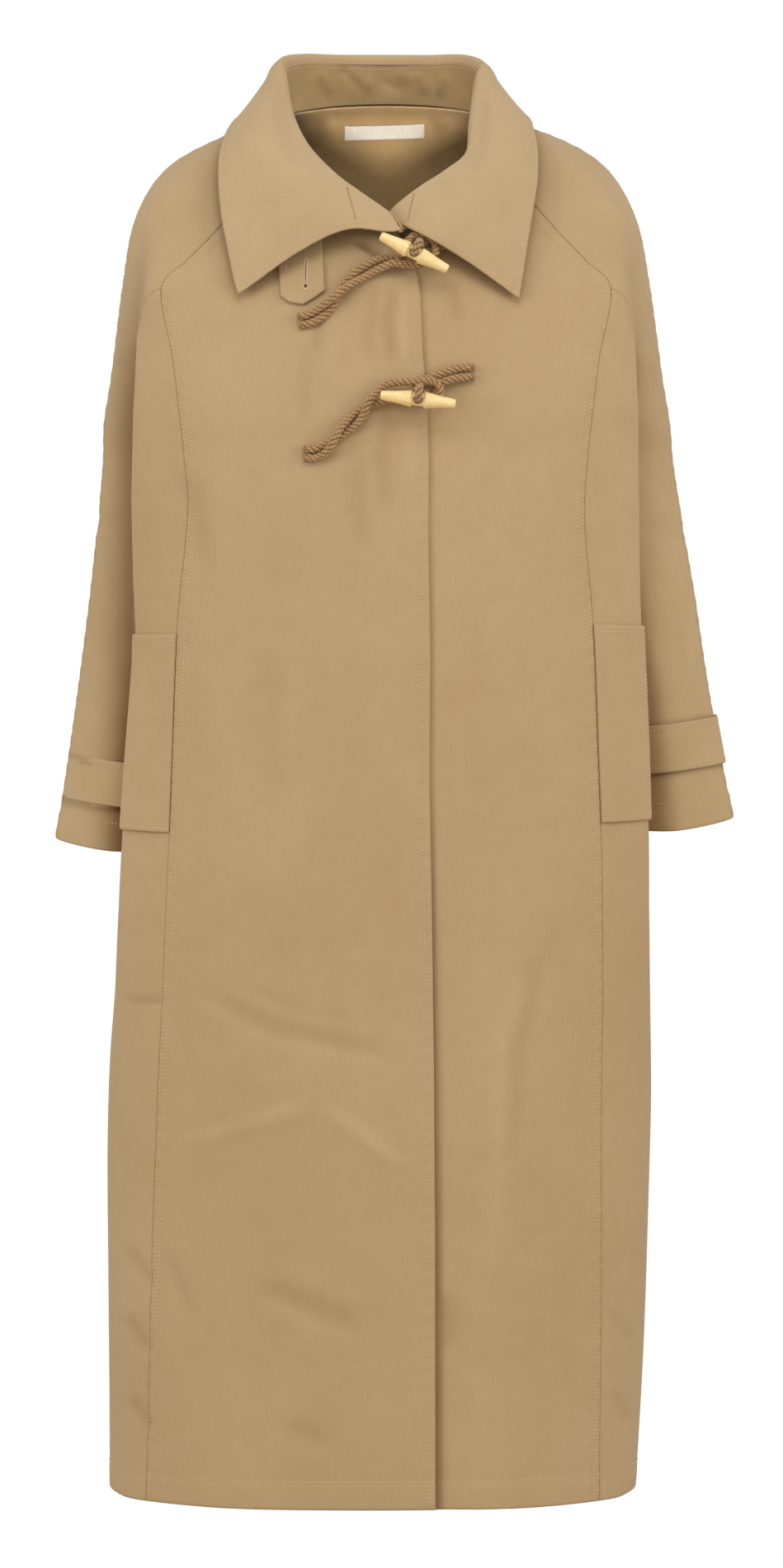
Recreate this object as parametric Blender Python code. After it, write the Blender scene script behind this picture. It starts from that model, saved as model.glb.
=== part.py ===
"""Raglan coat, filled out as if worn. Millimetres in the tables, metres in the objects.

X is to the viewer's right, Y away from the viewer, Z up; the origin is the middle of the neck at
shoulder height. The cloth follows one net of named stations (round the body, then round the
sleeve) and rows (down from the neckline). Each sewn piece is a part of that net between two seam
lines, made a closed wall.
"""
import math

import bmesh
import bpy
import numpy as np

for leftover in list(bpy.data.objects):
    bpy.data.objects.remove(leftover, do_unlink=True)

CLOTH = 2.0            # wall of the coat cloth
COLLAR_CLOTH = 2.0     # wall of the collar, two layers and a stiffener; thinner at the throat
SEAM_GAP = 0.3         # gap between two sewn pieces
WELT_CLOTH = 2.0
LABEL_CLOTH = 1.0
UNDERLAP_DEPTH = 4.2   # how far the under front lies behind the front that laps over
UNDERLAP_EDGE = -46.0  # x of the hidden edge of the under front
ROPE_RADIUS = 3.4
TOGGLE_HOLE_RADIUS = 4.1
BUTTON_RADIUS = 9.8
BUTTON_THICK = 3.0

# Net, upper rows: neckline, collar seat, shoulder, shoulder's fall, seam crossing, chest, underarm.
# Each station of one half has its x, y, z in mm row by row, from the front middle backward.
YOKE = {
    "centre_front": [(0, -117, -105), (0, -124, -120), (0, -132, -140), (0, -136, -156), (0, -141, -178),
                     (0, -148, -215), (0, -151, -255)],
    "chest": [(48, -94, -70), (62, -104, -90), (80, -115, -120), (89, -122, -141), (96, -129, -166),
              (99, -139, -212), (100, -145, -253)],
    "raglan": [(80, -50, -24), (106, -70, -58), (142, -92, -102), (164, -101, -126), (184, -109, -150),
               (174.5, -121, -206), (169, -127, -250)],
    "edge": [(85, -34, -15), (124, -46, -30), (168, -61, -54), (194, -73, -92), (200.5, -80, -146),
             (206, -87, -212), (208, -87, -250)],
    "front_valley": [(87, -22, -8), (127, -30, -18), (172, -38, -43), (199, -44, -84), (203, -47, -140),
                     (197, -36, -216), (160, 12, -250)],
    "sleeve_front": [(88, -12, -2), (130, -13, -11), (178, -15, -37), (206, -19, -79), (214, -24, -136),
                     (215, -30, -212), (204, -41, -250)],
    "overarm": [(88, 0, 3), (132, 6, -7), (182, 11, -34), (210, 15, -77), (222.5, 20, -134),
                (233, 24, -211), (239.5, 28, -250)],
    "sleeve_back": [(87, 14, 7), (128, 26, -5), (175, 38, -32), (203, 48, -75), (213, 58, -132),
                    (215, 74, -211), (209, 87, -250)],
    "back_valley": [(84, 27, 11), (120, 44, -2), (162, 62, -29), (184, 72, -73), (191, 79, -130),
                    (186, 77, -215), (160, 12, -250)],
    "back_side": [(77, 41, 15), (106, 62, 3), (140, 86, -27), (158, 97, -71), (168, 106, -128),
                  (171, 111, -209), (169, 112, -250)],
    "blade": [(45, 68, 23), (58, 86, 11), (80, 108, -22), (88, 118, -70), (95, 127, -126),
              (98, 134, -208), (100, 137, -250)],
    "centre_back": [(0, 78, 26), (0, 95, 14), (0, 115, -21), (0, 124, -68), (0, 134, -126),
                    (0, 141, -207), (0, 146, -250)],
}
# Net, body rows under the arm. Columns: z, then x, y of each station.
BODY = [
    # z      centre   chest       princess      edge          side          back_side    blade       centre
    (-285, (0, -151), (100, -145), (165, -128), (208.5, -86), (146, 16), (160, 112), (99, 138), (0, 146)),
    (-340, (0, -153), (100, -147), (162, -130), (209.5, -85), (137, 18), (154, 112), (98, 139), (0, 147)),
    (-428, (0, -155), (101, -148), (169.5, -130), (211, -84), (136, 18), (154, 113), (98, 140), (0, 149)),
    (-530, (0, -157), (102, -149), (174, -127), (216, -79), (147, 12), (160, 114), (99, 141), (0, 151)),
    (-610, (0, -158), (103, -150), (177, -122), (219, -73), (163, 6), (168, 114), (100, 142), (0, 152)),
    (-690, (0, -159), (104, -151), (179, -118), (220.5, -66), (202, 4), (184, 108), (104, 143), (0, 154)),
    (-780, (0, -161), (106, -152), (181, -116), (219, -62), (222, 4), (190, 104), (107, 145), (0, 156)),
    (-960, (0, -164), (108, -155), (184, -115), (217, -64), (222.5, 4), (189, 107), (108, 149), (0, 160)),
    (-1142, (0, -167), (110, -157), (186, -113), (212, -66), (218.5, 4), (186, 109), (109, 152), (0, 163)),
]
# Net, sleeve rows under the arm. Columns: x, y, z of underarm, front, overarm, back.
SLEEVE = [
    ((154, 26, -285), (196, -31, -285), (241.5, 29, -285), (202, 88, -285)),
    ((154, 30, -340), (200, -28, -340), (248.5, 30, -340), (206, 86, -340)),
    ((161, 30, -400), (209, -25, -400), (256.5, 29, -400), (213, 83, -400)),
    ((171, 28, -470), (220, -24, -470), (265.5, 26, -470), (222, 78, -470)),
    ((180, 24, -535), (229, -26, -535), (275, 22, -532), (230, 73, -532)),
    ((187, 20, -600), (235, -30, -603), (286, 18, -592), (238, 69, -590)),
]
RAGLAN_ROW, UNDERARM_ROW = 4.0, 6.0
HEM_ROW = UNDERARM_ROW + len(BODY)
CUFF_ROW = UNDERARM_ROW + len(SLEEVE)
OVERARM_STATION = 5.9    # the overarm seam, a little before the outermost line
# Raglan seam from its crossing with the princess seam round the edge to the valley: row and station.
RAGLAN_TURN = [(4 + k / 6, 2 + k / 3) for k in range(7)]
UNDERARM_TURN = 4.0      # how far the walls at the underarm point turn toward facing down
TO_UNDERARM = [5.33, 5.67, UNDERARM_ROW]    # then down the valley to the underarm
YOKE_ROWS = [0.0, 0.5, 1.0, 1.5, 2.0, 2.5, 3.0, 3.5]
FRONT_ROWS = [RAGLAN_ROW + k / 2 for k in range(18)] + [13.0, 14.0, 15.0]
SLEEVE_ROWS = [6.5, 7.0, 7.5, 8.0, 9.0, 10.0, 10.5, 11.0, 11.5, 12.0]

# The coat hangs a little unevenly. Columns: z, shift of the body in x, shift of the sleeves in x.
SWAY = [(70, 3, 3), (-250, 3, 3), (-400, 2.5, 7), (-600, 2, 9), (-730, 0, 9), (-780, -1.6, 9),
        (-870, -3.3, 9), (-960, -4.6, 9), (-1060, -6.4, 9), (-1142, -8, 9)]
SLEEVE_LONGER = 8.5      # wearer's right sleeve is this much longer, the left this much shorter
# Edge of the front that laps over. Columns: z, x.
LAP_EDGE = [(-104, 14), (-115, 16.5), (-125, 22), (-138, 28), (-155, 31.5), (-180, 32.5), (-240, 37),
            (-400, 39.5), (-600, 41), (-800, 42.5), (-1142, 42.5)]

# Collar. Columns: neckline station, then x, y, z of the fold's top, two points and the edge.
COLLAR = [
    (0.26, (14.3, -139, -104.0), (-27.3, -141, -104.3), (-70.9, -139, -124.2), (-118.1, -133, -155.9)),
    (-0.15, (4.3, -131, -88.2), (-34.7, -136, -89.6), (-76.4, -132, -109.3), (-122.3, -127, -142.0)),
    (-0.6, (-18.0, -116, -71.0), (-53.0, -123, -76.7), (-86.8, -121, -91.3), (-128.1, -114, -114.2)),
    (-1.1, (-39.8, -101, -53.7), (-70.1, -111, -60.4), (-100.6, -108, -71.6), (-133.3, -101, -86.4)),
    (-1.7, (-62.6, -73, -26.9), (-85.4, -91, -37.7), (-109.2, -91, -47.9), (-136.3, -82, -56.9)),
    (-2.6, (-76.9, -40, 4.6), (-93.5, -63, -8.3), (-113.3, -67, -17.7), (-136.1, -60, -31.3)),
    (-4.5, (-83.7, -12, 39.9), (-95.7, -30, 22.2), (-110.7, -36, 7.6), (-130.9, -30, -8.6)),
    (-6.0, (-85.6, 12, 57.3), (-99.4, 8, 37.2), (-111.9, 6, 18.8), (-124.0, 5, 2.3)),
    (-8.6, (-68, 48, 66), (-83, 62, 46), (-99, 78, 22), (-114, 88, 4)),
    (-10.0, (-36, 70, 68), (-43, 84, 48), (-53, 104, 18), (-61, 119, -8)),
    (-11.0, (0, 77, 68.5), (0, 93, 48), (0, 115, 16), (0, 129, -13)),
    (10.0, (36, 70, 68), (43, 84, 48), (53, 104, 18), (61, 119, -8)),
    (8.6, (68, 48, 66), (83, 62, 46), (99, 78, 22), (114, 88, 4)),
    (6.0, (84.2, 12, 55.5), (98.0, 8, 37.2), (111.2, 6, 18.8), (124.0, 5, 3.3)),
    (4.5, (81.0, -12, 41.3), (93.8, -30, 22.2), (108.8, -36, 7.6), (126.2, -30, -7.6)),
    (2.6, (75.0, -40, 4.6), (91.7, -63, -8.3), (110.8, -67, -17.7), (128.8, -60, -28.9)),
    (1.7, (71.0, -74, -30.3), (89.1, -92, -37.8), (108.8, -91, -47.9), (128.1, -82, -56.9)),
    (1.1, (52.4, -94, -49.6), (75.3, -108, -60.1), (97.6, -108, -71.5), (123.5, -101, -86.4)),
    (0.6, (32.7, -105, -63.5), (60.2, -119, -76.3), (87.9, -120, -91.0), (119.1, -114, -112.2)),
    (0.22, (14.4, -114, -78.1), (48.0, -133, -92.4), (81.7, -131, -111.7), (114.6, -127, -140.6)),
    (0.0, (2.3, -118, -91.1), (31.8, -138, -107.6), (69.5, -138, -130.5), (111.2, -133, -160.0)),
]
FOLD_IN, FOLD_DOWN = 5.2, 9.0   # the fold's inner leg: how far in and down from its top


def weights(knots, at):
    """Matrix that turns values at the knots into a smooth curve at the given places."""
    knots = np.asarray(knots, float)
    at = np.clip(np.asarray(at, float), knots[0], knots[-1])
    count = len(knots)
    slopes = np.zeros((count, count))
    for i in range(count):
        low, high = max(i - 1, 0), min(i + 1, count - 1)
        if low == i or high == i:
            span = knots[high] - knots[low]
            slopes[i, high] += 1 / span
            slopes[i, low] -= 1 / span
        else:
            before, after = knots[i] - knots[low], knots[high] - knots[i]
            slopes[i, high] += before / after / (before + after)
            slopes[i, i] += (after / before - before / after) / (before + after)
            slopes[i, low] -= after / before / (before + after)
    seg = np.clip(np.searchsorted(knots, at, side="right") - 1, 0, count - 2)
    span = knots[seg + 1] - knots[seg]
    t = (at - knots[seg]) / span
    result = np.zeros((len(at), count))
    rows = np.arange(len(at))
    result[rows, seg] += 2 * t**3 - 3 * t**2 + 1
    result[rows, seg + 1] += 3 * t**2 - 2 * t**3
    result += ((t**3 - 2 * t**2 + t) * span)[:, None] * slopes[seg]
    result += ((t**3 - t**2) * span)[:, None] * slopes[seg + 1]
    return result


def mirrored(points):
    return points * np.array([-1.0, 1.0, 1.0])


def build_nets():
    """Nets above the underarm row (True) and below it (False): front body, sleeve and back body.

    Above, the front body runs on into the sleeve; below, body and sleeve are two closed rings.
    """
    yoke = [np.array(rows, float) for rows in YOKE.values()]
    low = [np.array([(*row[i], row[0]) for row in BODY], float) for i in range(1, 9)]
    tube = [np.array([row[i] for row in SLEEVE], float) for i in range(4)]
    nets = {}
    for above in (True, False):
        upper = [column.copy() for column in yoke]
        if not above:
            middle = (upper[4][5] + upper[8][5]) / 2
            upper[4][5] = upper[8][5] = middle
        under = [low[4].copy(), tube[0].copy()]
        if above:
            under[0][0] = under[1][0] = (low[4][0] + tube[0][0]) / 2
        body = [np.concatenate([upper[i], low[i]]) for i in range(4)]
        body.append(np.concatenate([upper[4], under[0]]))
        body += [np.concatenate([upper[i + 4], low[i]]) for i in range(5, 8)]
        side_back = np.concatenate([upper[8], under[0]])
        arm = [np.concatenate([upper[4 + i], tube[i] if i % 4 else under[1]]) for i in range(5)]
        change = lambda one, other: np.concatenate([one[:7], other[7:]])
        past_front, past_back = change(arm[1], body[5]), change(arm[3], body[3])
        before, after = change(body[3], arm[3]), change(body[5], arm[1])
        half = body[:5] + [past_front]
        front = [mirrored(column) for column in half[:0:-1]] + half
        half = [past_back, side_back] + body[5:]
        back = half + [mirrored(column) for column in half[-2::-1]]
        nets[above] = (np.stack(front, 1), np.stack([before] + arm + [after], 1), np.stack(back, 1))
    return nets


NETS = build_nets()
FRONT, SLEEVE_NET, BACK = 0, 1, 2


def swayed(points, column):
    table = np.array(SWAY[::-1], float)
    moved = points.copy()
    moved[:, 0] += np.interp(points[:, 2], table[:, 0], table[:, column])
    return moved


def evaluate(which, first, station, row):
    station, row = np.asarray(station, float), np.asarray(row, float)
    result = np.zeros((len(row), 3))
    for above in (True, False):
        part = (row < UNDERARM_ROW) == above
        if part.any():
            net = NETS[above][which]
            across = weights(np.arange(net.shape[1]) + first, station[part])
            down = weights(np.arange(net.shape[0]), row[part])
            result[part] = np.einsum("mr,ms,rsk->mk", down, across, net)
    return result


def front_body(station, row):
    """Station 0 is the front middle, 4 the side; negative on the viewer's left."""
    return swayed(evaluate(FRONT, -5, station, row), 1)


def back_body(station, row):
    """Station 8 is the side, 11 the back middle, 14 the other side."""
    return swayed(evaluate(BACK, 7, station, row), 1)


def sleeve_tube(station, row, side):
    """Station 4 and 8 are the underarm line, 6 the overarm line; side is +1 on the viewer's right."""
    points = evaluate(SLEEVE_NET, 3, station, row)
    fall = np.clip((-250 - points[:, 2]) / 340, 0, 1)
    points[:, 2] += side * SLEEVE_LONGER * fall
    if side < 0:
        points = mirrored(points)
    return swayed(points, 2)


def sleeve_all(station, row, side):
    """The sleeve piece from the raglan seam on: it begins on the front body's net."""
    station, row = np.asarray(station, float), np.asarray(row, float)
    points = sleeve_tube(station, row, side)
    on_front = (station < 4.0) & (row < UNDERARM_ROW)
    if on_front.any():
        points[on_front] = front_body(side * station[on_front], row[on_front])
    return points


def normals_of(surface, station, row, outward):
    """Unit normals by small steps on the surface; outward tells the side for each point."""
    step = 0.02
    a = surface(station + step, row) - surface(station - step, row)
    b = surface(station, row + step) - surface(station, row - step)
    cross = np.cross(b, a)
    cross /= np.linalg.norm(cross, axis=1)[:, None] + 1e-9
    return cross * outward


def grid_points(surface, stations, rows, outward):
    """Points and normals of a grid given by two equal arrays of stations and rows."""
    shape = stations.shape
    flat_s, flat_r = stations.ravel(), rows.ravel()
    points = surface(flat_s, flat_r).reshape(*shape, 3)
    normals = normals_of(surface, flat_s, flat_r, outward).reshape(*shape, 3)
    return points, normals


def apart(points, rows, column, way):
    """Where the valley closes, the sleeve and the body draw apart sideways."""
    points[rows, column, 0] += np.array([0.0, 0.35, 0.5, 0.5]) * way
    return points


def pressed(points):
    """Wall of a panel at its points: pressed thin where four seams meet under the arm."""
    far = np.minimum(np.linalg.norm(points - (163, 12, -252), axis=-1),
                     np.linalg.norm(points - (-157, 12, -252), axis=-1))
    return (CLOTH - 0.9 * np.clip(1.6 - far / 25, 0, 1))[..., None]


def from_grid(points, normals):
    """Inner normals taken from the grid itself; the seams keep the surface's own."""
    across = points[1:-1, 2:] - points[1:-1, :-2]
    down = points[2:, 1:-1] - points[:-2, 1:-1]
    cross = np.cross(down, across)
    cross /= np.linalg.norm(cross, axis=-1)[..., None]
    normals = normals.copy()
    sign = np.sign(np.sum(cross * normals[1:-1, 1:-1], axis=-1).sum())
    normals[1:-1, 1:-1] = cross * sign
    return normals


def shared(one, other):
    """The normal two pieces have in common along their seam."""
    both = one + other
    return both / np.linalg.norm(both, axis=-1)[..., None]


def pulled_in(points, sides, by=SEAM_GAP / 2):
    """Draw the named edges of a grid inward along the cloth, to leave the seam's gap."""
    moved = points.copy()
    steps = {"left": ((slice(None), 0), (slice(None), 1)), "right": ((slice(None), -1), (slice(None), -2)),
             "top": ((0,), (1,)), "bottom": ((-1,), (-2,))}
    for side in sides:
        edge, inner = steps[side]
        way = points[inner] - points[edge]
        moved[edge] += way / np.linalg.norm(way, axis=-1)[..., None] * by
    return moved


def material(name, colour, roughness):
    made = bpy.data.materials.new(name)
    made.use_nodes = True
    made.diffuse_color = (*colour, 1.0)
    shader = made.node_tree.nodes["Principled BSDF"]
    shader.inputs["Base Color"].default_value = (*colour, 1.0)
    shader.inputs["Roughness"].default_value = roughness
    return made


def solid(name, vertices, faces, look):
    """A closed, outward-facing mesh object from points in mm."""
    mesh = bpy.data.meshes.new(name)
    mesh.from_pydata([tuple(float(c) / 1000 for c in v) for v in vertices], [], faces)
    build = bmesh.new()
    build.from_mesh(mesh)
    bmesh.ops.triangulate(build, faces=build.faces[:])
    bmesh.ops.recalc_face_normals(build, faces=build.faces[:])
    build.to_mesh(mesh)
    build.free()
    body = bpy.data.objects.new(name, mesh)
    bpy.context.scene.collection.objects.link(body)
    body.data.materials.append(material(name + "_look", *look))
    return body


def wall(name, points, normals, thickness, look, lift=0.0):
    """A sheet of cloth: outer face on the points (moved out by lift), inner face behind it."""
    rows, columns = points.shape[:2]
    outer = points + normals * lift
    inner = outer - normals * thickness
    vertices = np.concatenate([outer.reshape(-1, 3), inner.reshape(-1, 3)])
    back = rows * columns
    at = lambda r, c: r * columns + c
    faces = []
    for r in range(rows - 1):
        for c in range(columns - 1):
            a, b, d, e = at(r, c), at(r, c + 1), at(r + 1, c), at(r + 1, c + 1)
            if (r + c) % 2:
                faces += [(a, b, e), (a, e, d), (back + a, back + e, back + b), (back + a, back + d, back + e)]
            else:
                faces += [(a, b, d), (b, e, d), (back + a, back + d, back + b), (back + b, back + d, back + e)]
    ring = [at(0, c) for c in range(columns)] + [at(r, columns - 1) for r in range(1, rows)]
    ring += [at(rows - 1, c) for c in range(columns - 2, -1, -1)] + [at(r, 0) for r in range(rows - 2, 0, -1)]
    for a, b in zip(ring, ring[1:] + ring[:1]):
        faces.append((a, b, back + b, back + a))
    return solid(name, vertices, faces, look)


def station_for_x(table, rows, guess_sign=1.0):
    """Station on the front body where x is as the (z, x) table says, for each row."""
    table = np.array(table[::-1], float)
    rows = np.asarray(rows, float)
    station = np.full(len(rows), 0.3 * guess_sign)
    for _ in range(12):
        here = front_body(station, rows)
        slope = (front_body(station + 0.05, rows) - here)[:, 0] / 0.05
        wanted = np.interp(here[:, 2], table[:, 0], table[:, 1])
        station = station + (wanted - here[:, 0]) / np.maximum(slope, 20)
    return station


def nearest_on(surface, station_range, row_range, targets):
    """Stations and rows where the surface has the given x and z."""
    stations, rows = np.meshgrid(np.linspace(*station_range, 61), np.linspace(*row_range, 121))
    stations, rows = stations.ravel(), rows.ravel()
    known = surface(stations, rows)
    targets = np.asarray(targets, float)
    pick = [int(np.argmin((known[:, 0] - x)**2 + (known[:, 2] - z)**2)) for x, z in targets]
    station, row = stations[pick], rows[pick]
    for _ in range(6):
        here = surface(station, row)
        by_s = (surface(station + 0.01, row) - here)[:, [0, 2]] / 0.01
        by_r = (surface(station, row + 0.01) - here)[:, [0, 2]] / 0.01
        error = targets - here[:, [0, 2]]
        det = by_s[:, 0] * by_r[:, 1] - by_s[:, 1] * by_r[:, 0]
        station = np.clip(station + (error[:, 0] * by_r[:, 1] - error[:, 1] * by_r[:, 0]) / det, *station_range)
        row = np.clip(row + (by_s[:, 0] * error[:, 1] - by_s[:, 1] * error[:, 0]) / det, *row_range)
    return station, row


def on_front(x, z, lift):
    """Points at the given x and z, the given distance before the front of the coat."""
    station, row = nearest_on(front_body, (-2.9, 2.9), (0, HEM_ROW), np.stack([x, z], 1))
    points = front_body(station, row)
    points[:, 1] -= lift
    return points


CLOTH_LOOK = ((0.53, 0.377, 0.205), 0.85)
COLLAR_LOOK = ((0.53, 0.39, 0.22), 0.85)
INSIDE_LOOK = ((0.42, 0.29, 0.15), 0.85)
ROPE_LOOK = ((0.36, 0.205, 0.08), 0.8)
WOOD_LOOK = ((0.86, 0.61, 0.27), 0.45)
LABEL_LOOK = ((0.74, 0.67, 0.59), 0.7)
BUTTON_LOOK = ((0.15, 0.08, 0.03), 0.35)


# Fronts
all_rows = np.array(YOKE_ROWS + FRONT_ROWS)
princess = np.full(len(all_rows), 2.0)
lap = station_for_x(LAP_EDGE, all_rows)
under_edge = station_for_x([(-95, -14), (-125, -24), (-170, -40), (-230, UNDERLAP_EDGE),
                            (-1142, UNDERLAP_EDGE)], all_rows, -1.0)
steps = np.array([0.0, 0.13, 0.27, 0.41, 0.55, 0.68, 0.78, 0.86, 0.93, 1.0])[None, :]
stations = -princess[:, None] + (lap + princess)[:, None] * steps
rows = np.repeat(all_rows[:, None], stations.shape[1], 1)
points, normals = grid_points(front_body, stations, rows, 1.0)
front_right = wall("front_right", pulled_in(points, ["left"]), normals, CLOTH, CLOTH_LOOK)

steps = np.array([0.0, 0.08, 0.16, 0.24, 0.32, 0.42, 0.52, 0.62, 0.75, 0.88, 1.0])[None, :]
stations = under_edge[:, None] + (princess - under_edge)[:, None] * steps
rows = np.repeat(all_rows[:, None], stations.shape[1], 1)
points, normals = grid_points(front_body, stations, rows, 1.0)
past_lap = (points[:, :, 0] - front_body(lap, all_rows)[:, None, 0] - 6.0) / 34.0
ease = np.clip(past_lap, 0, 1)
depth = UNDERLAP_DEPTH * (1 - ease * ease * (3 - 2 * ease))
points = points - normals * depth[:, :, None]
front_left = wall("front_left", pulled_in(points, ["right"]), normals, CLOTH, CLOTH_LOOK)

# Side panels, from the princess seam to the side seam
UNDERARM_AT = len(YOKE_ROWS) + len(RAGLAN_TURN) + len(TO_UNDERARM) - 1
VALLEY = slice(UNDERARM_AT - 3, UNDERARM_AT + 1)    # the valley's rows in a sleeve or the back
turn = np.array(RAGLAN_TURN)
side_seam = [5.0] + TO_UNDERARM + [UNDERARM_ROW + (row - 5.5) / 9.5 * 9 for row in FRONT_ROWS[4:]]
over = (turn[None, :, 1] - 2) / 2
side_rows = np.array(FRONT_ROWS)[:, None] * (1 - over) + np.array(side_seam)[:, None] * over
side_stations = np.repeat(turn[None, :, 1], len(FRONT_ROWS), 0)
seam_turn = list(turn[:, 0]) + TO_UNDERARM


def flank(surface, station, rows, outward, way):
    """Unit normals just beside a seam; way tells on which side of the station the piece lies."""
    station = np.full(len(rows), float(station))
    a = (surface(station + way * 0.04, rows) - surface(station, rows)) * way
    b = surface(station, rows + 0.02) - surface(station, rows - 0.02)
    cross = np.cross(b, a)
    return cross / (np.linalg.norm(cross, axis=1)[:, None] + 1e-9) * outward


def beside_seam(station, rows, side, of_sleeve):
    """Normals of a body piece or a sleeve along its seam at station 4 or 8.

    Down the raglan seam the body and the sleeve share them. In the closing valley they turn down,
    and below the underarm the piece before the seam shares them with the piece behind it.
    """
    rows = np.array(rows, float)
    tube = lambda s, r: sleeve_all(s, r, side)
    of_body = {4: flank(front_body, 4 * side, rows, 1.0, -side),
               8: flank(back_body, 8 if side > 0 else 14, rows, 1.0, side)}
    of_tube = {4: flank(tube, 4, rows, side, 1.0), 8: flank(tube, 8, rows, side, -1.0)}
    own = of_tube if of_sleeve else of_body
    common = shared(of_body[station], of_tube[station])
    normals = np.where((rows <= 5.0)[:, None], common, shared(own[4], own[8]))
    at_top = common[rows <= 5.0][-1]
    for index, row in enumerate(rows):
        if 5.0 < row <= UNDERARM_ROW:
            low = shared(own[station][index], np.array((0.0, 0.0, -UNDERARM_TURN)))
            normals[index] = shared(at_top * (UNDERARM_ROW - row), low * (row - 5.0))
    return normals


for name, sign in (("side_left", 1.0), ("side_right", -1.0)):
    points, normals = grid_points(front_body, side_stations * sign, side_rows, 1.0)
    normals[:, -1] = beside_seam(4, side_seam, sign, False)
    points = apart(pulled_in(points, ["left", "right", "top"]), slice(0, 4), -1, -sign)
    wall(name, points, normals, pressed(points), CLOTH_LOOK)

# Back, one piece from side seam to side seam
back_down = YOKE_ROWS + seam_turn + side_seam[4:]
back_steps = [8.0, 8.4, 8.8, 9.3, 9.8, 10.2, 10.6, 11.0]
back_steps += [22 - s for s in back_steps[-2::-1]]
rows, stations = np.meshgrid(np.array(back_down), np.array(back_steps), indexing="ij")
points, normals = grid_points(back_body, stations, rows, 1.0)
for column, side in ((0, 1.0), (-1, -1.0)):
    normals[len(YOKE_ROWS):, column] = beside_seam(8, back_down[len(YOKE_ROWS):], side, False)
points = apart(apart(pulled_in(points, ["left", "right"]), VALLEY, 0, -1.0), VALLEY, -1, 1.0)
wall("back", points, normals, pressed(points), CLOTH_LOOK)

# Sleeves
seam_rows = [(r, 2.0) for r in YOKE_ROWS] + RAGLAN_TURN + [(r, 4.0) for r in TO_UNDERARM + SLEEVE_ROWS]
seam_rows = np.array(seam_rows)
share = np.linspace(0, 1, 9)[None, :]
front_stations = seam_rows[:, 1:2] + (OVERARM_STATION - seam_rows[:, 1:2]) * share
front_rows = np.repeat(seam_rows[:, :1], front_stations.shape[1], 1)
share = np.linspace(0, 1, 9)[None, :]
back_stations = OVERARM_STATION + (8.0 - OVERARM_STATION) * np.repeat(share, len(seam_rows), 0)
back_rows = np.repeat(seam_rows[:, :1], back_stations.shape[1], 1)
for name, side in (("left", 1.0), ("right", -1.0)):
    tube = lambda station, row: sleeve_all(station, row, side)
    for piece, stations, rows in (("front", front_stations, front_rows), ("back", back_stations, back_rows)):
        points, normals = grid_points(tube, stations, rows, side)
        normals = from_grid(points, normals)
        edge, station, begin = (0, 4, VALLEY.start) if piece == "front" else (-1, 8, len(YOKE_ROWS))
        normals[begin:, edge] = beside_seam(station, seam_rows[begin:, 0], side, True)
        points = apart(pulled_in(points, ["left", "right"]), VALLEY, edge, side)
        wall(f"sleeve_{piece}_{name}", points, normals, pressed(points), CLOTH_LOOK)


def neckline(station):
    """Point of the neckline at a signed station, 0 in front and 11 at the back middle."""
    side = -1.0 if station < 0 else 1.0
    size = abs(station)
    if size <= 4:
        return front_body(np.array([station]), np.array([0.0]))[0]
    if size <= 8:
        return sleeve_tube(np.array([size]), np.array([0.0]), side)[0]
    return back_body(np.array([22 - size if side < 0 else size]), np.array([0.0]))[0]


# Collar: the fall turns over at the fold and meets the stand on the inside
fold_top = np.array([row[1] for row in COLLAR], float)
first_out = np.array([row[2] for row in COLLAR], float)
flat = np.array([1.0, 1.0, 0.0])
to_axis = -(fold_top - np.array([0.0, 5.0, 0.0])) * flat
to_axis /= np.linalg.norm(to_axis, axis=1)[:, None]
to_fold = (fold_top - first_out) * flat
inward = to_axis + to_fold / np.linalg.norm(to_fold, axis=1)[:, None]
inward /= np.linalg.norm(inward, axis=1)[:, None]
leg = np.interp(np.arange(len(COLLAR)), (0, 1, 4, 16, 19, 20), (0.2, 0.3, 1, 1, 0.3, 0.2))[:, None]
narrow = 0.6 + 0.4 * leg
seam_in = fold_top + inward * FOLD_IN * narrow + np.array([0, 0, -FOLD_DOWN]) * leg
fold_in = fold_top + inward * 3.4 * narrow + np.array([0, 0, -1.8]) * leg
fold_out = fold_top - inward * 2.6 + (first_out - fold_top) * 0.08 + np.array([0, 0, -1.2])
collar_net = np.stack([seam_in, fold_in, fold_top, fold_out, first_out,
                       np.array([row[3] for row in COLLAR], float),
                       np.array([row[4] for row in COLLAR], float)], 1)
collar_knots = np.array([0.0, 8.5, 12.5, 16.5, 40.0, 68.0, 98.0])
collar_along = np.concatenate([np.arange(0, 7, 0.5), np.arange(7, 13), np.arange(13, 20.1, 0.5)])
collar_down = np.array([0.0, 5.0, 9.0, 12.5, 16.0, 27.0, 41.0, 55.0, 69.0, 84.0, 98.0])


def collar_surface(down, along):
    return np.einsum("mr,ms,rsk->mk", weights(np.arange(len(COLLAR)), along),
                     weights(collar_knots, down), collar_net)


def collar_normals(down, along):
    step = 0.6
    a = collar_surface(down + step, along) - collar_surface(down - step, along)
    b = collar_surface(down, along + 0.05) - collar_surface(down, along - 0.05)
    cross = np.cross(b, a)
    return cross / (np.linalg.norm(cross, axis=1)[:, None] + 1e-9)


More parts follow.
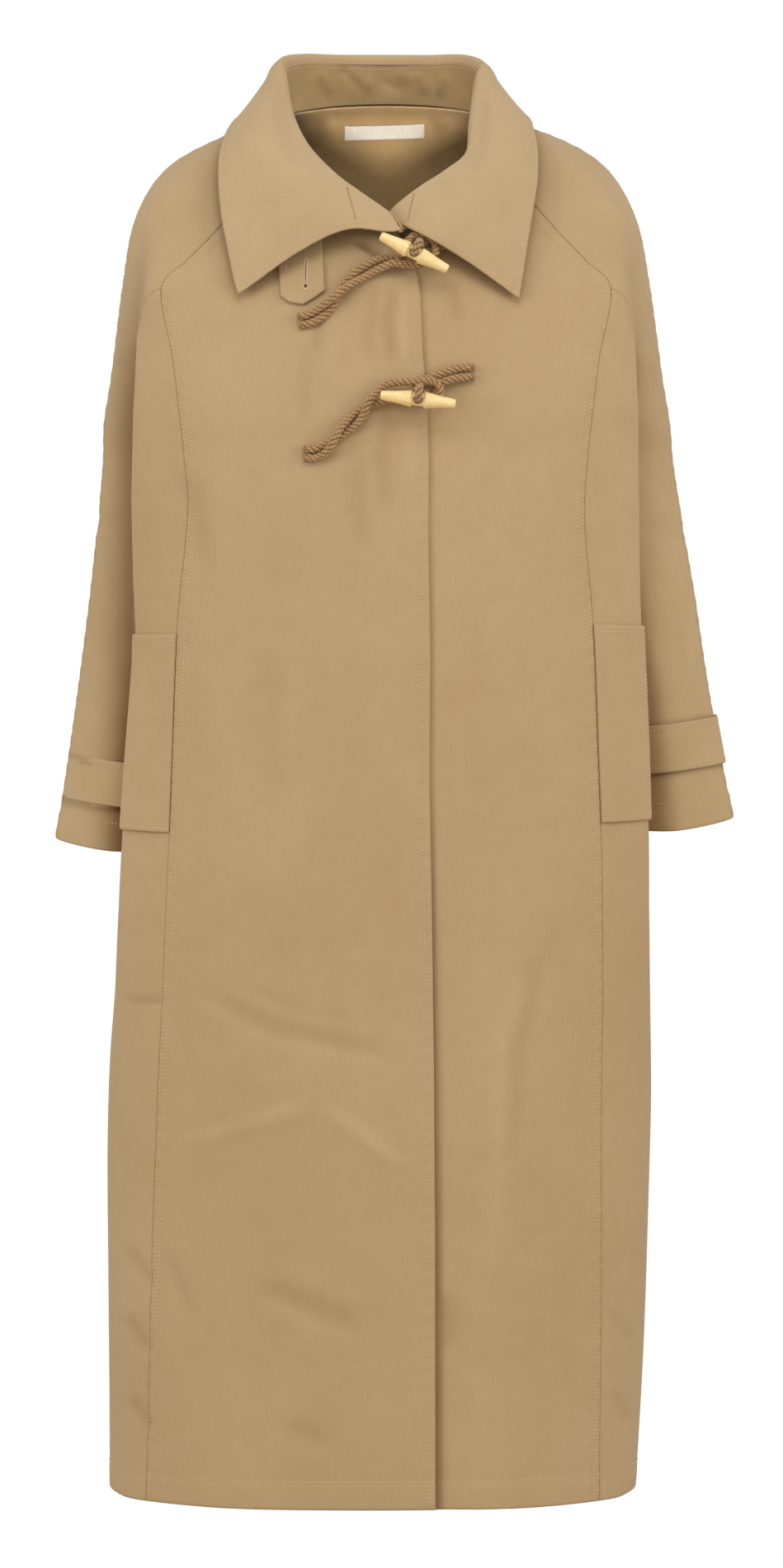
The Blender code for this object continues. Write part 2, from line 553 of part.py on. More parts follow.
alongs, downs = np.meshgrid(collar_along, collar_down, indexing="ij")
points = collar_surface(downs.ravel(), alongs.ravel()).reshape(*alongs.shape, 3)
normals = collar_normals(downs.ravel(), alongs.ravel()).reshape(*alongs.shape, 3)
thin = np.interp(collar_along, np.arange(len(COLLAR)), leg[:, 0])[:, None, None]
wall("collar_fall", points, normals, 1.2 + (COLLAR_CLOTH - 1.2) * thin, COLLAR_LOOK)

# Collar stand, from the neckline up to the fall's inner seam; it follows the inner face
neck = np.array([neckline(row[0]) for row in COLLAR])
for index, row in enumerate(COLLAR):
    if index >= len(COLLAR) - 4:
        neck[index] += (neck[index] * np.array([1, 1, 0]) * -1.0) / np.linalg.norm(neck[index][:2]) * UNDERLAP_DEPTH
leg_way = seam_in - fold_in
top_edge = seam_in + leg_way / np.linalg.norm(leg_way, axis=1)[:, None] * (SEAM_GAP + 0.3)
rise = top_edge - neck
rise /= np.linalg.norm(rise, axis=1)[:, None]
low_edge = neck + rise * 1.2
stand_net = np.stack([low_edge, (low_edge + top_edge) / 2 - inward * 0.6, top_edge], 1)
alongs, downs = np.meshgrid(collar_along, np.linspace(0, 2, 5), indexing="ij")


def stand_surface(down, along):
    return np.einsum("mr,ms,rsk->mk", weights(np.arange(len(COLLAR)), along),
                     weights([0, 1, 2], down), stand_net)


points = stand_surface(downs.ravel(), alongs.ravel())
here = (downs.ravel(), alongs.ravel())
cross = np.cross(stand_surface(here[0] + 0.03, here[1]) - stand_surface(here[0] - 0.03, here[1]),
                 stand_surface(here[0], here[1] + 0.05) - stand_surface(here[0], here[1] - 0.05))
normals = (cross / np.linalg.norm(cross, axis=1)[:, None]).reshape(*alongs.shape, 3)
points = points.reshape(*alongs.shape, 3)
wall("collar_stand", points, normals, CLOTH, INSIDE_LOOK)


# What is sewn on the panels, made from the panel's own points moved out
def sewn_on(name, surface, station, row, outward, lift, look, thickness=CLOTH):
    points, normals = grid_points(surface, station, row, outward)
    return wall(name, points, normals, thickness, look, lift=lift + thickness)


def row_at(surface, station, wanted_z):
    rows = np.linspace(0, HEM_ROW, 400)
    heights = surface(np.full(400, station), rows)[:, 2]
    return float(np.interp(-wanted_z, -heights, rows))


for name, sign, top, foot in (("left", 1.0, (-425, -425), (-587, -584)), ("right", -1.0, (-433, -432), (-595, -592))):
    across = np.array([2.03, 2.33, 2.67, 2.98])
    stations = np.repeat(across[None, :] * sign, 9, 0)
    tops = [row_at(front_body, sign * s, top[0] + (top[1] - top[0]) * i / 3) for i, s in enumerate(across)]
    feet = [row_at(front_body, sign * s, foot[0] + (foot[1] - foot[0]) * i / 3) for i, s in enumerate(across)]
    rows = np.array([[a + (b - a) * t for a, b in zip(tops, feet)] for t in np.linspace(0, 1, 9)])
    sewn_on(f"pocket_welt_{name}", front_body, stations, rows, 1.0, SEAM_GAP, CLOTH_LOOK, WELT_CLOTH)

# Throat tab. Columns: x, z of the top end and of the foot, from its outer edge to its inner edge
TAB = [((-86, -118), (-83, -158)), ((-77, -113), (-76, -163.5)), ((-68, -106), (-64.5, -166)),
       ((-59, -101), (-54, -160)), ((-50, -96), (-46.5, -154.5))]
top, foot = np.array([c[0] for c in TAB], float), np.array([c[1] for c in TAB], float)
spots = np.array([top + (foot - top) * t for t in np.linspace(0, 1, 6)])
stations, rows = nearest_on(front_body, (-2.9, 2.9), (0, HEM_ROW), spots.reshape(-1, 2))
sewn_on("throat_tab", front_body, stations.reshape(6, 5), rows.reshape(6, 5), 1.0, 0.4, CLOTH_LOOK, CLOTH)

# Cuff straps and their buttons. Columns: z of the strap's top and foot at the underarm, front,
# overarm and end; then the station of the strap's end and of its button.
STRAPS = {"left": (1.0, (-509, -506, -497, -494), (-549, -546, -537, -534), 6.75, 6.35),
          "right": (-1.0, (-541, -538, -527, -524), (-578, -575, -566, -563), 6.9, 6.5)}


def lifted_end(stations, end):
    near = np.clip((stations - (end - 1.3)) / 1.3, 0, 1)
    return 0.9 + 2.6 * near * near


for name, (side, tops, feet, end, button) in STRAPS.items():
    tube = lambda station, row: sleeve_all(station, row, side)
    own = np.concatenate([np.linspace(4, OVERARM_STATION, 9), np.linspace(OVERARM_STATION, 8, 9)[1:]])
    across = np.array([4.05, *own[(own > 4.1) & (own < end - 0.1)], end])
    top = [row_at(tube, s, np.interp(s, (4, 5, 6, 7), tops)) for s in across]
    foot = [row_at(tube, s, np.interp(s, (4, 5, 6, 7), feet)) for s in across]
    rows = np.array([[a + (b - a) * t for a, b in zip(top, foot)] for t in (0, 0.25, 0.5, 0.75, 1)])
    stations = np.repeat(across[None, :], 5, 0)
    stations[1:4, -1] += (0.1, 0.16, 0.1)
    points, normals = grid_points(tube, stations, rows, side)
    points = points + normals * lifted_end(stations, end)[:, :, None]
    wall(f"cuff_strap_{name}", points, normals, CLOTH, CLOTH_LOOK, lift=CLOTH)
    middle = np.array([(np.interp(button, across, top) + np.interp(button, across, foot)) / 2])
    spot = np.array([button])
    normal = normals_of(tube, spot, middle, side)[0]
    centre = tube(spot, middle)[0] + normal * (lifted_end(spot, end)[0] + CLOTH + SEAM_GAP)
    one = np.cross(normal, (0, 0, 1.0))
    one /= np.linalg.norm(one)
    two = np.cross(normal, one)
    profile = [(0.0, 1.0), (0.0, BUTTON_RADIUS - 0.8), (0.9, BUTTON_RADIUS), (BUTTON_THICK - 0.6, BUTTON_RADIUS),
               (BUTTON_THICK, BUTTON_RADIUS - 1.0), (BUTTON_THICK - 0.6, BUTTON_RADIUS - 2.6),
               (BUTTON_THICK - 0.9, 1.0)]
    vertices = [centre + normal * h + (one * math.cos(a) + two * math.sin(a)) * r
                for h, r in profile for a in [k * math.tau / 20 for k in range(20)]]
    faces = [(i * 20 + k, i * 20 + (k + 1) % 20, (i + 1) * 20 + (k + 1) % 20, (i + 1) * 20 + k)
             for i in range(len(profile) - 1) for k in range(20)]
    faces += [tuple(range(20)), tuple(range(len(vertices) - 20, len(vertices)))]
    solid(f"cuff_button_{name}", vertices, faces, BUTTON_LOOK)

# Label, sewn inside the back under the neckline
spots = np.array([[(x, z) for x in np.linspace(-33.5, 36, 7)] for z in (12.5, 7.0, 1.5)])
spots[:, :, 1] += np.linspace(-0.7, 1.2, 7)[None, :]
stations, rows = nearest_on(back_body, (9.2, 12.8), (0.1, 3), spots.reshape(-1, 2))
points, normals = grid_points(back_body, stations.reshape(3, 7), rows.reshape(3, 7), 1.0)
wall("label", points - normals * (CLOTH + 1.0), normals, LABEL_CLOTH, LABEL_LOOK)


# Ropes and toggles
def smooth(points, count):
    """A smooth line through the points, sampled closer where it bends."""
    points = np.asarray(points, float)
    knots = np.concatenate([[0], np.cumsum(np.linalg.norm(np.diff(points, axis=0), axis=1))])
    fine = weights(knots, np.linspace(0, knots[-1], 900)) @ points
    length = np.concatenate([[0], np.cumsum(np.linalg.norm(np.diff(fine, axis=0), axis=1))])
    even = np.linspace(0, length[-1], 400)
    fine = np.stack([np.interp(even, length, fine[:, k]) for k in range(3)], 1)
    bent = np.linalg.norm(np.gradient(np.gradient(fine, axis=0), axis=0), axis=1) / even[1]**2
    closer = np.concatenate([[0], np.cumsum(1 + 12 * (bent[1:] + bent[:-1]) / 2)])
    picked = np.linspace(0, closer[-1], count)
    return np.stack([np.interp(picked, closer, fine[:, k]) for k in range(3)], 1)


def rope(name, points, count, radius=ROPE_RADIUS, sides=7):
    line = smooth(points, count)
    along = np.gradient(line, axis=0)
    along /= np.linalg.norm(along, axis=1)[:, None]
    across = np.cross(along[0], (0.0, 1.0, 0.0))
    vertices = []
    for here, way in zip(line, along):
        across = across - way * np.dot(across, way)
        across /= np.linalg.norm(across)
        up = np.cross(way, across)
        for k in range(sides):
            angle = k * math.tau / sides
            vertices.append(here + (across * math.cos(angle) + up * math.sin(angle)) * radius)
    faces = [(i * sides + k, i * sides + (k + 1) % sides, (i + 1) * sides + (k + 1) % sides, (i + 1) * sides + k)
             for i in range(count - 1) for k in range(sides)]
    faces += [tuple(range(sides)), tuple(range(len(vertices) - sides, len(vertices)))]
    return solid(name, vertices, faces, ROPE_LOOK)


def strands(centre, turns, spreads):
    """Two strands side by side that turn about each other: centre is x, z, lift in mm."""
    centre = np.array(centre, float)
    middle = on_front(centre[:, 0], centre[:, 1], centre[:, 2])
    along = np.gradient(middle, axis=0)
    along /= np.linalg.norm(along, axis=1)[:, None]
    flat = np.cross((0.0, -1.0, 0.0), along)
    normal = np.cross(along, flat)
    turns = np.radians(np.array(turns, float))[:, None]
    offset = (flat * np.cos(turns) + normal * np.sin(turns)) * np.array(spreads, float)[:, None]
    return middle + offset, middle - offset


# Loop ropes. Columns: x, z and height over the cloth of the pair's middle, its turn in degrees and
# half the distance between the strands; then the bight's points as x, z, height.
LOOPS = {
    "rope_loop_lower": [
        [(-62, -287.5, 4.0, 0, 3.7), (-53.8, -287.2, 4.2, 0, 3.7), (-45.2, -282.6, 6.2, -45, 3.8),
         (-38.5, -275.9, 7.9, -90, 3.8), (-31.8, -268.2, 6.4, -135, 3.8), (-24.5, -262, 4.6, -180, 3.8),
         (-17.1, -254.8, 6.4, -225, 3.8), (-11.1, -247.8, 7.9, -280, 3.8), (-3.7, -242.8, 6.6, -330, 4.6),
         (4.3, -238.3, 6.6, -345, 6.4), (13.3, -237.2, 8.2, -338, 7.6), (22.3, -237.8, 9.8, -338, 8.4),
         (31.0, -238.2, 9.9, -338, 9.0)],
        [(38.5, -229.4, 13.0), (45.5, -232.5, 13.2), (46.2, -240.0, 12.4), (39.5, -247.2, 9.2)]],
    "rope_loop_upper": [
        [(-66.5, -178.5, 4.4, 0, 3.7), (-60, -177.3, 4.6, 0, 3.7), (-52.7, -173.6, 5.0, 0, 3.7),
         (-44, -166.6, 6.8, 45, 3.8), (-35.2, -155.9, 8.6, 90, 3.8), (-27.2, -147.1, 7.2, 135, 3.8),
         (-18.5, -140.4, 5.8, 180, 3.9), (-9.1, -134.6, 6.0, 180, 4.0), (0.3, -131.0, 7.4, 150, 4.0),
         (9.6, -129.6, 8.8, 120, 4.0), (15.5, -129.4, 9.6, 140, 4.2)],
        [(18.8, -120.5, 10.0), (21.2, -112.2, 10.6), (28.0, -107.2, 11.4), (35.8, -107.9, 11.8),
         (42.3, -113.6, 11.2), (43.0, -122.5, 11.8), (35.2, -131.0, 10.6), (27.0, -132.7, 9.2)]],
}
for name, (table, bight) in LOOPS.items():
    centre = [row[:3] for row in table]
    one, two = strands(centre, [row[3] for row in table], [row[4] for row in table])
    bend = on_front(*np.array(bight, float).T)
    if one[-1, 2] < two[-1, 2]:
        one, two = two, one
    rope(name, np.concatenate([one, bend, two[::-1]]), 54)

# Toggles: centre, direction from end to end, half length; the cord's hole lies across the waist
TOGGLES = {"toggle_lower": ((28.7, -245.0, 22.0), (60.0, -7.0), 30.5),
           "toggle_upper": ((25.7, -124.2, 24.5), (54.0, -27.0), 30.5)}
TOGGLE_PROFILE = [(-1.0, 1.0), (-1.0, 3.1), (-0.985, 3.6), (-0.6, 4.9), (-0.2, 6.6), (-0.17, 6.4), (-0.15, 5.4),
                  (0.15, 5.4), (0.17, 6.4), (0.2, 6.6), (0.6, 4.9), (0.985, 3.6), (1.0, 3.1), (1.0, 1.0)]


def wooden_toggle(name, centre, way, half):
    """A turned toggle: two cones, a narrow waist between them and the cord's hole through it."""
    middle = on_front(*np.array([centre], float).T)[0]
    normal = np.array([0.0, -1.0, 0.0])
    axis = np.array([way[0], 0.0, way[1]]) / math.hypot(*way)
    side = np.cross(normal, axis)
    vertices = [middle + axis * (t * half) + (normal * math.cos(a) + side * math.sin(a)) * r
                for t, r in TOGGLE_PROFILE for a in [k * math.tau / 16 for k in range(16)]]
    faces = [(i * 16 + k, i * 16 + (k + 1) % 16, (i + 1) * 16 + (k + 1) % 16, (i + 1) * 16 + k)
             for i in range(len(TOGGLE_PROFILE) - 1) for k in range(16)]
    faces += [tuple(range(16)), tuple(range(len(vertices) - 16, len(vertices)))]
    body = solid(name, vertices, faces, WOOD_LOOK)
    ring = [middle + normal * h + (axis * math.cos(a) + side * math.sin(a)) * TOGGLE_HOLE_RADIUS
            for h in (-12.0, 12.0) for a in [(k + 0.5) * math.tau / 12 for k in range(12)]]
    sides = [(k, (k + 1) % 12, 12 + (k + 1) % 12, 12 + k) for k in range(12)]
    drill = solid(name + "_drill", ring, sides + [tuple(range(12)), tuple(range(12, 24))], WOOD_LOOK)
    cut = body.modifiers.new("hole", "BOOLEAN")
    cut.operation, cut.object, cut.solver = "DIFFERENCE", drill, "EXACT"
    ready = body.evaluated_get(bpy.context.evaluated_depsgraph_get())
    drilled = bpy.data.meshes.new_from_object(ready)
    body.modifiers.remove(cut)
    body.data = drilled
    bpy.data.objects.remove(drill, do_unlink=True)
    return middle, axis, side


# The cords that hold the toggles. Columns: x, z and height over the cloth of each strand from its sewn
# end; between them the cord goes through the toggle's hole and back over its waist.
CORDS = {"toggle_lower": ([(72.5, -217.2, 4.2), (61.8, -218.0, 4.2), (51.1, -221.0, 4.2), (40.0, -225.5, 4.2),
                           (29.2, -230.8, 5.0), (26.4, -236.0, 8.4), (27.6, -236.9, 13.2)],
                          [(72.5, -225.0, 4.2), (61.8, -225.8, 4.2), (51.1, -228.8, 4.2), (41.0, -234.0, 4.2),
                           (34.6, -238.7, 7.6), (33.4, -241.0, 11.6)]),
         "toggle_upper": ([(66.0, -106.5, 4.4), (55.0, -106.5, 4.4), (47.0, -108.8, 4.0), (38.0, -113.0, 3.8),
                           (31.0, -116.4, 8.6), (30.2, -116.2, 15.5)],
                          [(66.0, -114.2, 4.4), (55.0, -114.6, 4.4), (47.0, -116.6, 4.0), (39.0, -120.6, 3.8),
                           (33.0, -124.0, 8.5), (29.0, -124.2, 13.5)])}
# The cord about the waist: how far up across the toggle and how far toward the viewer.
BEND = [(9.4, -4.5), (9.5, 0.0), (9.4, 4.0), (8.8, 6.4), (7.1, 8.1), (4.7, 8.7), (2.3, 8.1), (0.6, 6.4),
        (0.0, 4.0), (0.0, -3.0), (0.4, -6.5)]

for name, (centre, way, half) in TOGGLES.items():
    middle, axis, side = wooden_toggle(name, centre, way, half)
    if side[2] < 0:
        side = -side
    bend = [middle + side * up + np.array([0.0, -1.0, 0.0]) * out for up, out in BEND]
    one, two = (on_front(*np.array(strand, float).T) for strand in CORDS[name])
    rope(name.replace("toggle", "toggle_cord"), np.concatenate([one, bend, two[::-1]]), 38)
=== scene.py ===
# A fawn raglan coat with wooden toggles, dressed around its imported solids.
# Lengths in the tables are in mm; x to the viewer's right, y away from the viewer, z up.
import math

import bmesh
import bpy
import numpy as np
from mathutils import Matrix, Vector


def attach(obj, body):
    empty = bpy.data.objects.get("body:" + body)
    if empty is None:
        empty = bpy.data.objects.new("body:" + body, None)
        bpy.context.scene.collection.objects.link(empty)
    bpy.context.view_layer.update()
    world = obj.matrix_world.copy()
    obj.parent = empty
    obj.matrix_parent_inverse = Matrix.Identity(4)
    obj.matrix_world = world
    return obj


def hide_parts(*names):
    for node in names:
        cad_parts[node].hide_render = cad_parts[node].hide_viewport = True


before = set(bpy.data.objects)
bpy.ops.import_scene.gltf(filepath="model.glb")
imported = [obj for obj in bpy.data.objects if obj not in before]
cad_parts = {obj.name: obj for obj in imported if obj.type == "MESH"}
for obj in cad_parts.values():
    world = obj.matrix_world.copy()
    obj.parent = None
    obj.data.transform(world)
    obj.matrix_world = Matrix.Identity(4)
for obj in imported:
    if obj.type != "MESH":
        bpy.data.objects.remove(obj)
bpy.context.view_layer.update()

print("frame loaded")

# One net carries all the cloth: named stations round the body and the sleeve, rows down from the neck
coat = {
    "thickness": 1.8, "seamGap": 0.08,
    "underlapDepth": 4.2, "overarmStation": 5.9, "underarmRow": 6.0, "hemRow": 15.0, "cuffRow": 12.0,
    "sleeveLonger": 8.5,
    # each station of one half: x, y, z row by row, from the front middle backward
    "yoke": {
        "centre_front": [(0, -117, -105), (0, -124, -120), (0, -132, -140), (0, -136, -156), (0, -141, -178),
                         (0, -148, -215), (0, -151, -255)],
        "chest": [(48, -94, -70), (62, -104, -90), (80, -115, -120), (89, -122, -141), (96, -129, -166),
                  (99, -139, -212), (100, -145, -253)],
        "raglan": [(80, -50, -24), (106, -70, -58), (142, -92, -102), (164, -101, -126), (184, -109, -150),
                   (174.5, -121, -206), (169, -127, -250)],
        "edge": [(85, -34, -15), (124, -46, -30), (168, -61, -54), (194, -73, -92), (200.5, -80, -146),
                 (206, -87, -212), (208, -87, -250)],
        "front_valley": [(87, -22, -8), (127, -30, -18), (172, -38, -43), (199, -44, -84), (203, -47, -140),
                         (197, -36, -216), (160, 12, -250)],
        "sleeve_front": [(88, -12, -2), (130, -13, -11), (178, -15, -37), (206, -19, -79), (214, -24, -136),
                         (215, -30, -212), (204, -41, -250)],
        "overarm": [(88, 0, 3), (132, 6, -7), (182, 11, -34), (210, 15, -77), (222.5, 20, -134),
                    (233, 24, -211), (239.5, 28, -250)],
        "sleeve_back": [(87, 14, 7), (128, 26, -5), (175, 38, -32), (203, 48, -75), (213, 58, -132),
                        (215, 74, -211), (209, 87, -250)],
        "back_valley": [(84, 27, 11), (120, 44, -2), (162, 62, -29), (184, 72, -73), (191, 79, -130),
                        (186, 77, -215), (160, 12, -250)],
        "back_side": [(77, 41, 15), (106, 62, 3), (140, 86, -27), (158, 97, -71), (168, 106, -128),
                      (171, 111, -209), (169, 112, -250)],
        "blade": [(45, 68, 23), (58, 86, 11), (80, 108, -22), (88, 118, -70), (95, 127, -126),
                  (98, 134, -208), (100, 137, -250)],
        "centre_back": [(0, 78, 26), (0, 95, 14), (0, 115, -21), (0, 124, -68), (0, 134, -126),
                        (0, 141, -207), (0, 146, -250)],
    },
    # rows under the arm: z, then x and y of each station
    "body": [
        # z      centre   chest       princess      edge          side          back_side    blade       centre
        (-285, (0, -151), (100, -145), (165, -128), (208.5, -86), (146, 16), (160, 112), (99, 138), (0, 146)),
        (-340, (0, -153), (100, -147), (162, -130), (209.5, -85), (137, 18), (154, 112), (98, 139), (0, 147)),
        (-428, (0, -155), (101, -148), (169.5, -130), (211, -84), (136, 18), (154, 113), (98, 140), (0, 149)),
        (-530, (0, -157), (102, -149), (174, -127), (216, -79), (147, 12), (160, 114), (99, 141), (0, 151)),
        (-610, (0, -158), (103, -150), (177, -122), (219, -73), (163, 6), (168, 114), (100, 142), (0, 152)),
        (-690, (0, -159), (104, -151), (179, -118), (220.5, -66), (202, 4), (184, 108), (104, 143), (0, 154)),
        (-780, (0, -161), (106, -152), (181, -116), (219, -62), (222, 4), (190, 104), (107, 145), (0, 156)),
        (-960, (0, -164), (108, -155), (184, -115), (217, -64), (222.5, 4), (189, 107), (108, 149), (0, 160)),
        (-1142, (0, -167), (110, -157), (186, -113), (212, -66), (218.5, 4), (186, 109), (109, 152), (0, 163)),
    ],
    # sleeve rows under the arm: underarm, front, overarm, back
    "sleeve": [
        ((154, 26, -285), (196, -31, -285), (241.5, 29, -285), (202, 88, -285)),
        ((154, 30, -340), (200, -28, -340), (248.5, 30, -340), (206, 86, -340)),
        ((161, 30, -400), (209, -25, -400), (256.5, 29, -400), (213, 83, -400)),
        ((171, 28, -470), (220, -24, -470), (265.5, 26, -470), (222, 78, -470)),
        ((180, 24, -535), (229, -26, -535), (275, 22, -532), (230, 73, -532)),
        ((187, 20, -600), (235, -30, -603), (286, 18, -592), (238, 69, -590)),
    ],
    # z, shift of the body in x, shift of the sleeves in x: the coat hangs a little unevenly
    "sway": [(70, 3, 3), (-250, 3, 3), (-400, 2.5, 7), (-600, 2, 9), (-730, 0, 9), (-780, -1.6, 9),
            (-870, -3.3, 9), (-960, -4.6, 9), (-1060, -6.4, 9), (-1142, -8, 9)],
    "lapEdge": [(-104, 14), (-115, 16.5), (-125, 22), (-138, 28), (-155, 31), (-180, 32), (-205, 33), (-240, 36.2),
                (-294, 37.8), (-348, 37.4), (-455, 39), (-555, 38.2), (-656, 40.1), (-789, 41.8), (-923, 42.7),
                (-1142, 43)],
    "underlap": [(-130, 4.2), (-170, 2.5), (-520, 2.5), (-700, 3.2), (-1142, 4.2)],
    "underEdge": [(-95, -14), (-125, -24), (-170, -40), (-230, -46), (-1142, -46)],
}
collar = {
    "thickness": 2.2, "foldIn": 5.2, "foldDown": 9.0,
    # neckline station, then x, y, z of the fold's top, two points and the edge
    "net": [
        (0.26, (14.3, -139, -104.0), (-27.3, -141, -104.3), (-70.9, -139, -124.2), (-118.1, -133, -155.9)),
        (-0.15, (4.3, -131, -88.2), (-34.7, -136, -89.6), (-76.4, -132, -109.3), (-122.3, -127, -142.0)),
        (-0.6, (-18.0, -116, -71.0), (-53.0, -123, -76.7), (-86.8, -121, -91.3), (-128.1, -114, -114.2)),
        (-1.1, (-39.8, -101, -53.7), (-70.1, -111, -60.4), (-100.6, -108, -71.6), (-133.3, -101, -86.4)),
        (-1.7, (-62.6, -73, -26.9), (-85.4, -91, -37.7), (-109.2, -91, -47.9), (-136.3, -82, -56.9)),
        (-2.6, (-76.9, -40, 4.6), (-93.5, -63, -8.3), (-113.3, -67, -17.7), (-136.1, -60, -31.3)),
        (-4.5, (-83.7, -12, 39.9), (-95.7, -30, 22.2), (-110.7, -36, 7.6), (-130.9, -30, -8.6)),
        (-6.0, (-85.6, 12, 57.3), (-99.4, 8, 37.2), (-111.9, 6, 18.8), (-124.0, 5, 2.3)),
        (-8.6, (-68, 48, 66), (-83, 62, 46), (-99, 78, 22), (-114, 88, 4)),
        (-10.0, (-36, 70, 68), (-43, 84, 48), (-53, 104, 18), (-61, 119, -8)),
        (-11.0, (0, 77, 68.5), (0, 93, 48), (0, 115, 16), (0, 129, -13)),
        (10.0, (36, 70, 68), (43, 84, 48), (53, 104, 18), (61, 119, -8)),
        (8.6, (68, 48, 66), (83, 62, 46), (99, 78, 22), (114, 88, 4)),
        (6.0, (84.2, 12, 55.5), (98.0, 8, 37.2), (111.2, 6, 18.8), (124.0, 5, 3.3)),
        (4.5, (81.0, -12, 41.3), (93.8, -30, 22.2), (108.8, -36, 7.6), (126.2, -30, -7.6)),
        (2.6, (75.0, -40, 4.6), (91.7, -63, -8.3), (110.8, -67, -17.7), (128.8, -60, -28.9)),
        (1.7, (71.0, -74, -30.3), (89.1, -92, -37.8), (108.8, -91, -47.9), (128.1, -82, -56.9)),
        (1.1, (52.4, -94, -49.6), (75.3, -108, -60.1), (97.6, -108, -71.5), (123.5, -101, -86.4)),
        (0.6, (32.7, -105, -63.5), (60.2, -119, -76.3), (87.9, -120, -91.0), (119.1, -114, -112.2)),
        (0.22, (14.4, -114, -78.1), (48.0, -133, -92.4), (81.7, -131, -111.7), (114.6, -127, -140.6)),
        (0.0, (2.3, -118, -91.1), (31.8, -138, -107.6), (69.5, -138, -130.5), (111.2, -133, -160.0)),
    ],
}


def unit(vectors):
    return vectors / (np.linalg.norm(vectors, axis=-1)[..., None] + 1e-9)


def lengthsAlong(line):  # from a line's start to each of its points
    return np.pad(np.linalg.norm(np.diff(line, axis=0), axis=1).cumsum(), (1, 0))


def gridLengths(points):  # the same, across and down a grid of points
    across, down = (np.linalg.norm(np.diff(points, axis=axis), axis=2).cumsum(axis) for axis in (1, 0))
    return np.pad(across, ((0, 0), (1, 0))), np.pad(down, ((1, 0), (0, 0)))


def fromEdges(points):  # each point's distance from the four edges of its grid
    across, down = gridLengths(points)
    return {"left": across, "right": across[:, -1:] - across, "top": down, "bottom": down[-1:] - down}


def between(at, knots, values):  # rows of values, read between the knots
    return np.stack([np.interp(at, knots, column) for column in np.asarray(values, float).T], 1)


def softStep(share):
    return share * share * (3 - 2 * share)


def hermiteWeights(knots, at):  # matrix from values at the knots to a smooth curve at the given places
    knots = np.asarray(knots, float)
    at = np.clip(np.asarray(at, float), knots[0], knots[-1])
    count = len(knots)
    slopes = np.zeros((count, count))
    for i in range(count):
        low, high = max(i - 1, 0), min(i + 1, count - 1)
        if low == i or high == i:
            span = knots[high] - knots[low]
            slopes[i, high] += 1 / span
            slopes[i, low] -= 1 / span
        else:
            before, after = knots[i] - knots[low], knots[high] - knots[i]
            slopes[i, high] += before / after / (before + after)
            slopes[i, i] += (after / before - before / after) / (before + after)
            slopes[i, low] -= after / before / (before + after)
    seg = np.clip(np.searchsorted(knots, at, side="right") - 1, 0, count - 2)
    span = knots[seg + 1] - knots[seg]
    t = (at - knots[seg]) / span
    result = np.zeros((len(at), count))
    rows = np.arange(len(at))
    result[rows, seg] += 2 * t**3 - 3 * t**2 + 1
    result[rows, seg + 1] += 3 * t**2 - 2 * t**3
    result += ((t**3 - 2 * t**2 + t) * span)[:, None] * slopes[seg]
    result += ((t**3 - t**2) * span)[:, None] * slopes[seg + 1]
    return result


def mirrored(points):
    return points * np.array([-1.0, 1.0, 1.0])


def buildNets():  # above the underarm row (True) body and sleeve run on into each other, below they are rings
    yoke = [np.array(rows, float) for rows in coat["yoke"].values()]
    low = [np.array([(*row[i], row[0]) for row in coat["body"]], float) for i in range(1, 9)]
    tube = [np.array([row[i] for row in coat["sleeve"]], float) for i in range(4)]
    nets = {}
    for above in (True, False):
        upper = [column.copy() for column in yoke]
        if not above:
            upper[4][5] = upper[8][5] = (upper[4][5] + upper[8][5]) / 2
        under = [low[4].copy(), tube[0].copy()]
        if above:
            under[0][0] = under[1][0] = (low[4][0] + tube[0][0]) / 2
        body = [np.concatenate([upper[i], low[i]]) for i in range(4)]
        body.append(np.concatenate([upper[4], under[0]]))
        body += [np.concatenate([upper[i + 4], low[i]]) for i in range(5, 8)]
        sideBack = np.concatenate([upper[8], under[0]])
        arm = [np.concatenate([upper[4 + i], tube[i] if i % 4 else under[1]]) for i in range(5)]
        change = lambda one, other: np.concatenate([one[:7], other[7:]])
        pastFront, pastBack = change(arm[1], body[5]), change(arm[3], body[3])
        before, after = change(body[3], arm[3]), change(body[5], arm[1])
        half = body[:5] + [pastFront]
        front = [mirrored(column) for column in half[:0:-1]] + half
        half = [pastBack, sideBack] + body[5:]
        back = half + [mirrored(column) for column in half[-2::-1]]
        nets[above] = (np.stack(front, 1), np.stack([before] + arm + [after], 1), np.stack(back, 1))
    return nets


nets = buildNets()


def swayed(points, column):
    table = np.array(coat["sway"][::-1], float)
    moved = points.copy()
    moved[:, 0] += np.interp(points[:, 2], table[:, 0], table[:, column])
    return moved


def evaluate(which, first, station, row):
    station, row = np.asarray(station, float), np.asarray(row, float)
    result = np.zeros((len(row), 3))
    for above in (True, False):
        part = (row < coat["underarmRow"]) == above
        if part.any():
            net = nets[above][which]
            across = hermiteWeights(np.arange(net.shape[1]) + first, station[part])
            down = hermiteWeights(np.arange(net.shape[0]), row[part])
            mixed = np.tensordot(across, net, axes=(1, 1))
            result[part] = np.einsum("mr,mrk->mk", down, mixed)
    return result


def frontBody(station, row):  # station 0 is the front middle, 4 the side, negative on the viewer's left
    return swayed(evaluate(0, -5, station, row), 1)


def backBody(station, row):  # station 8 is one side, 11 the back middle, 14 the other side
    return swayed(evaluate(2, 7, station, row), 1)


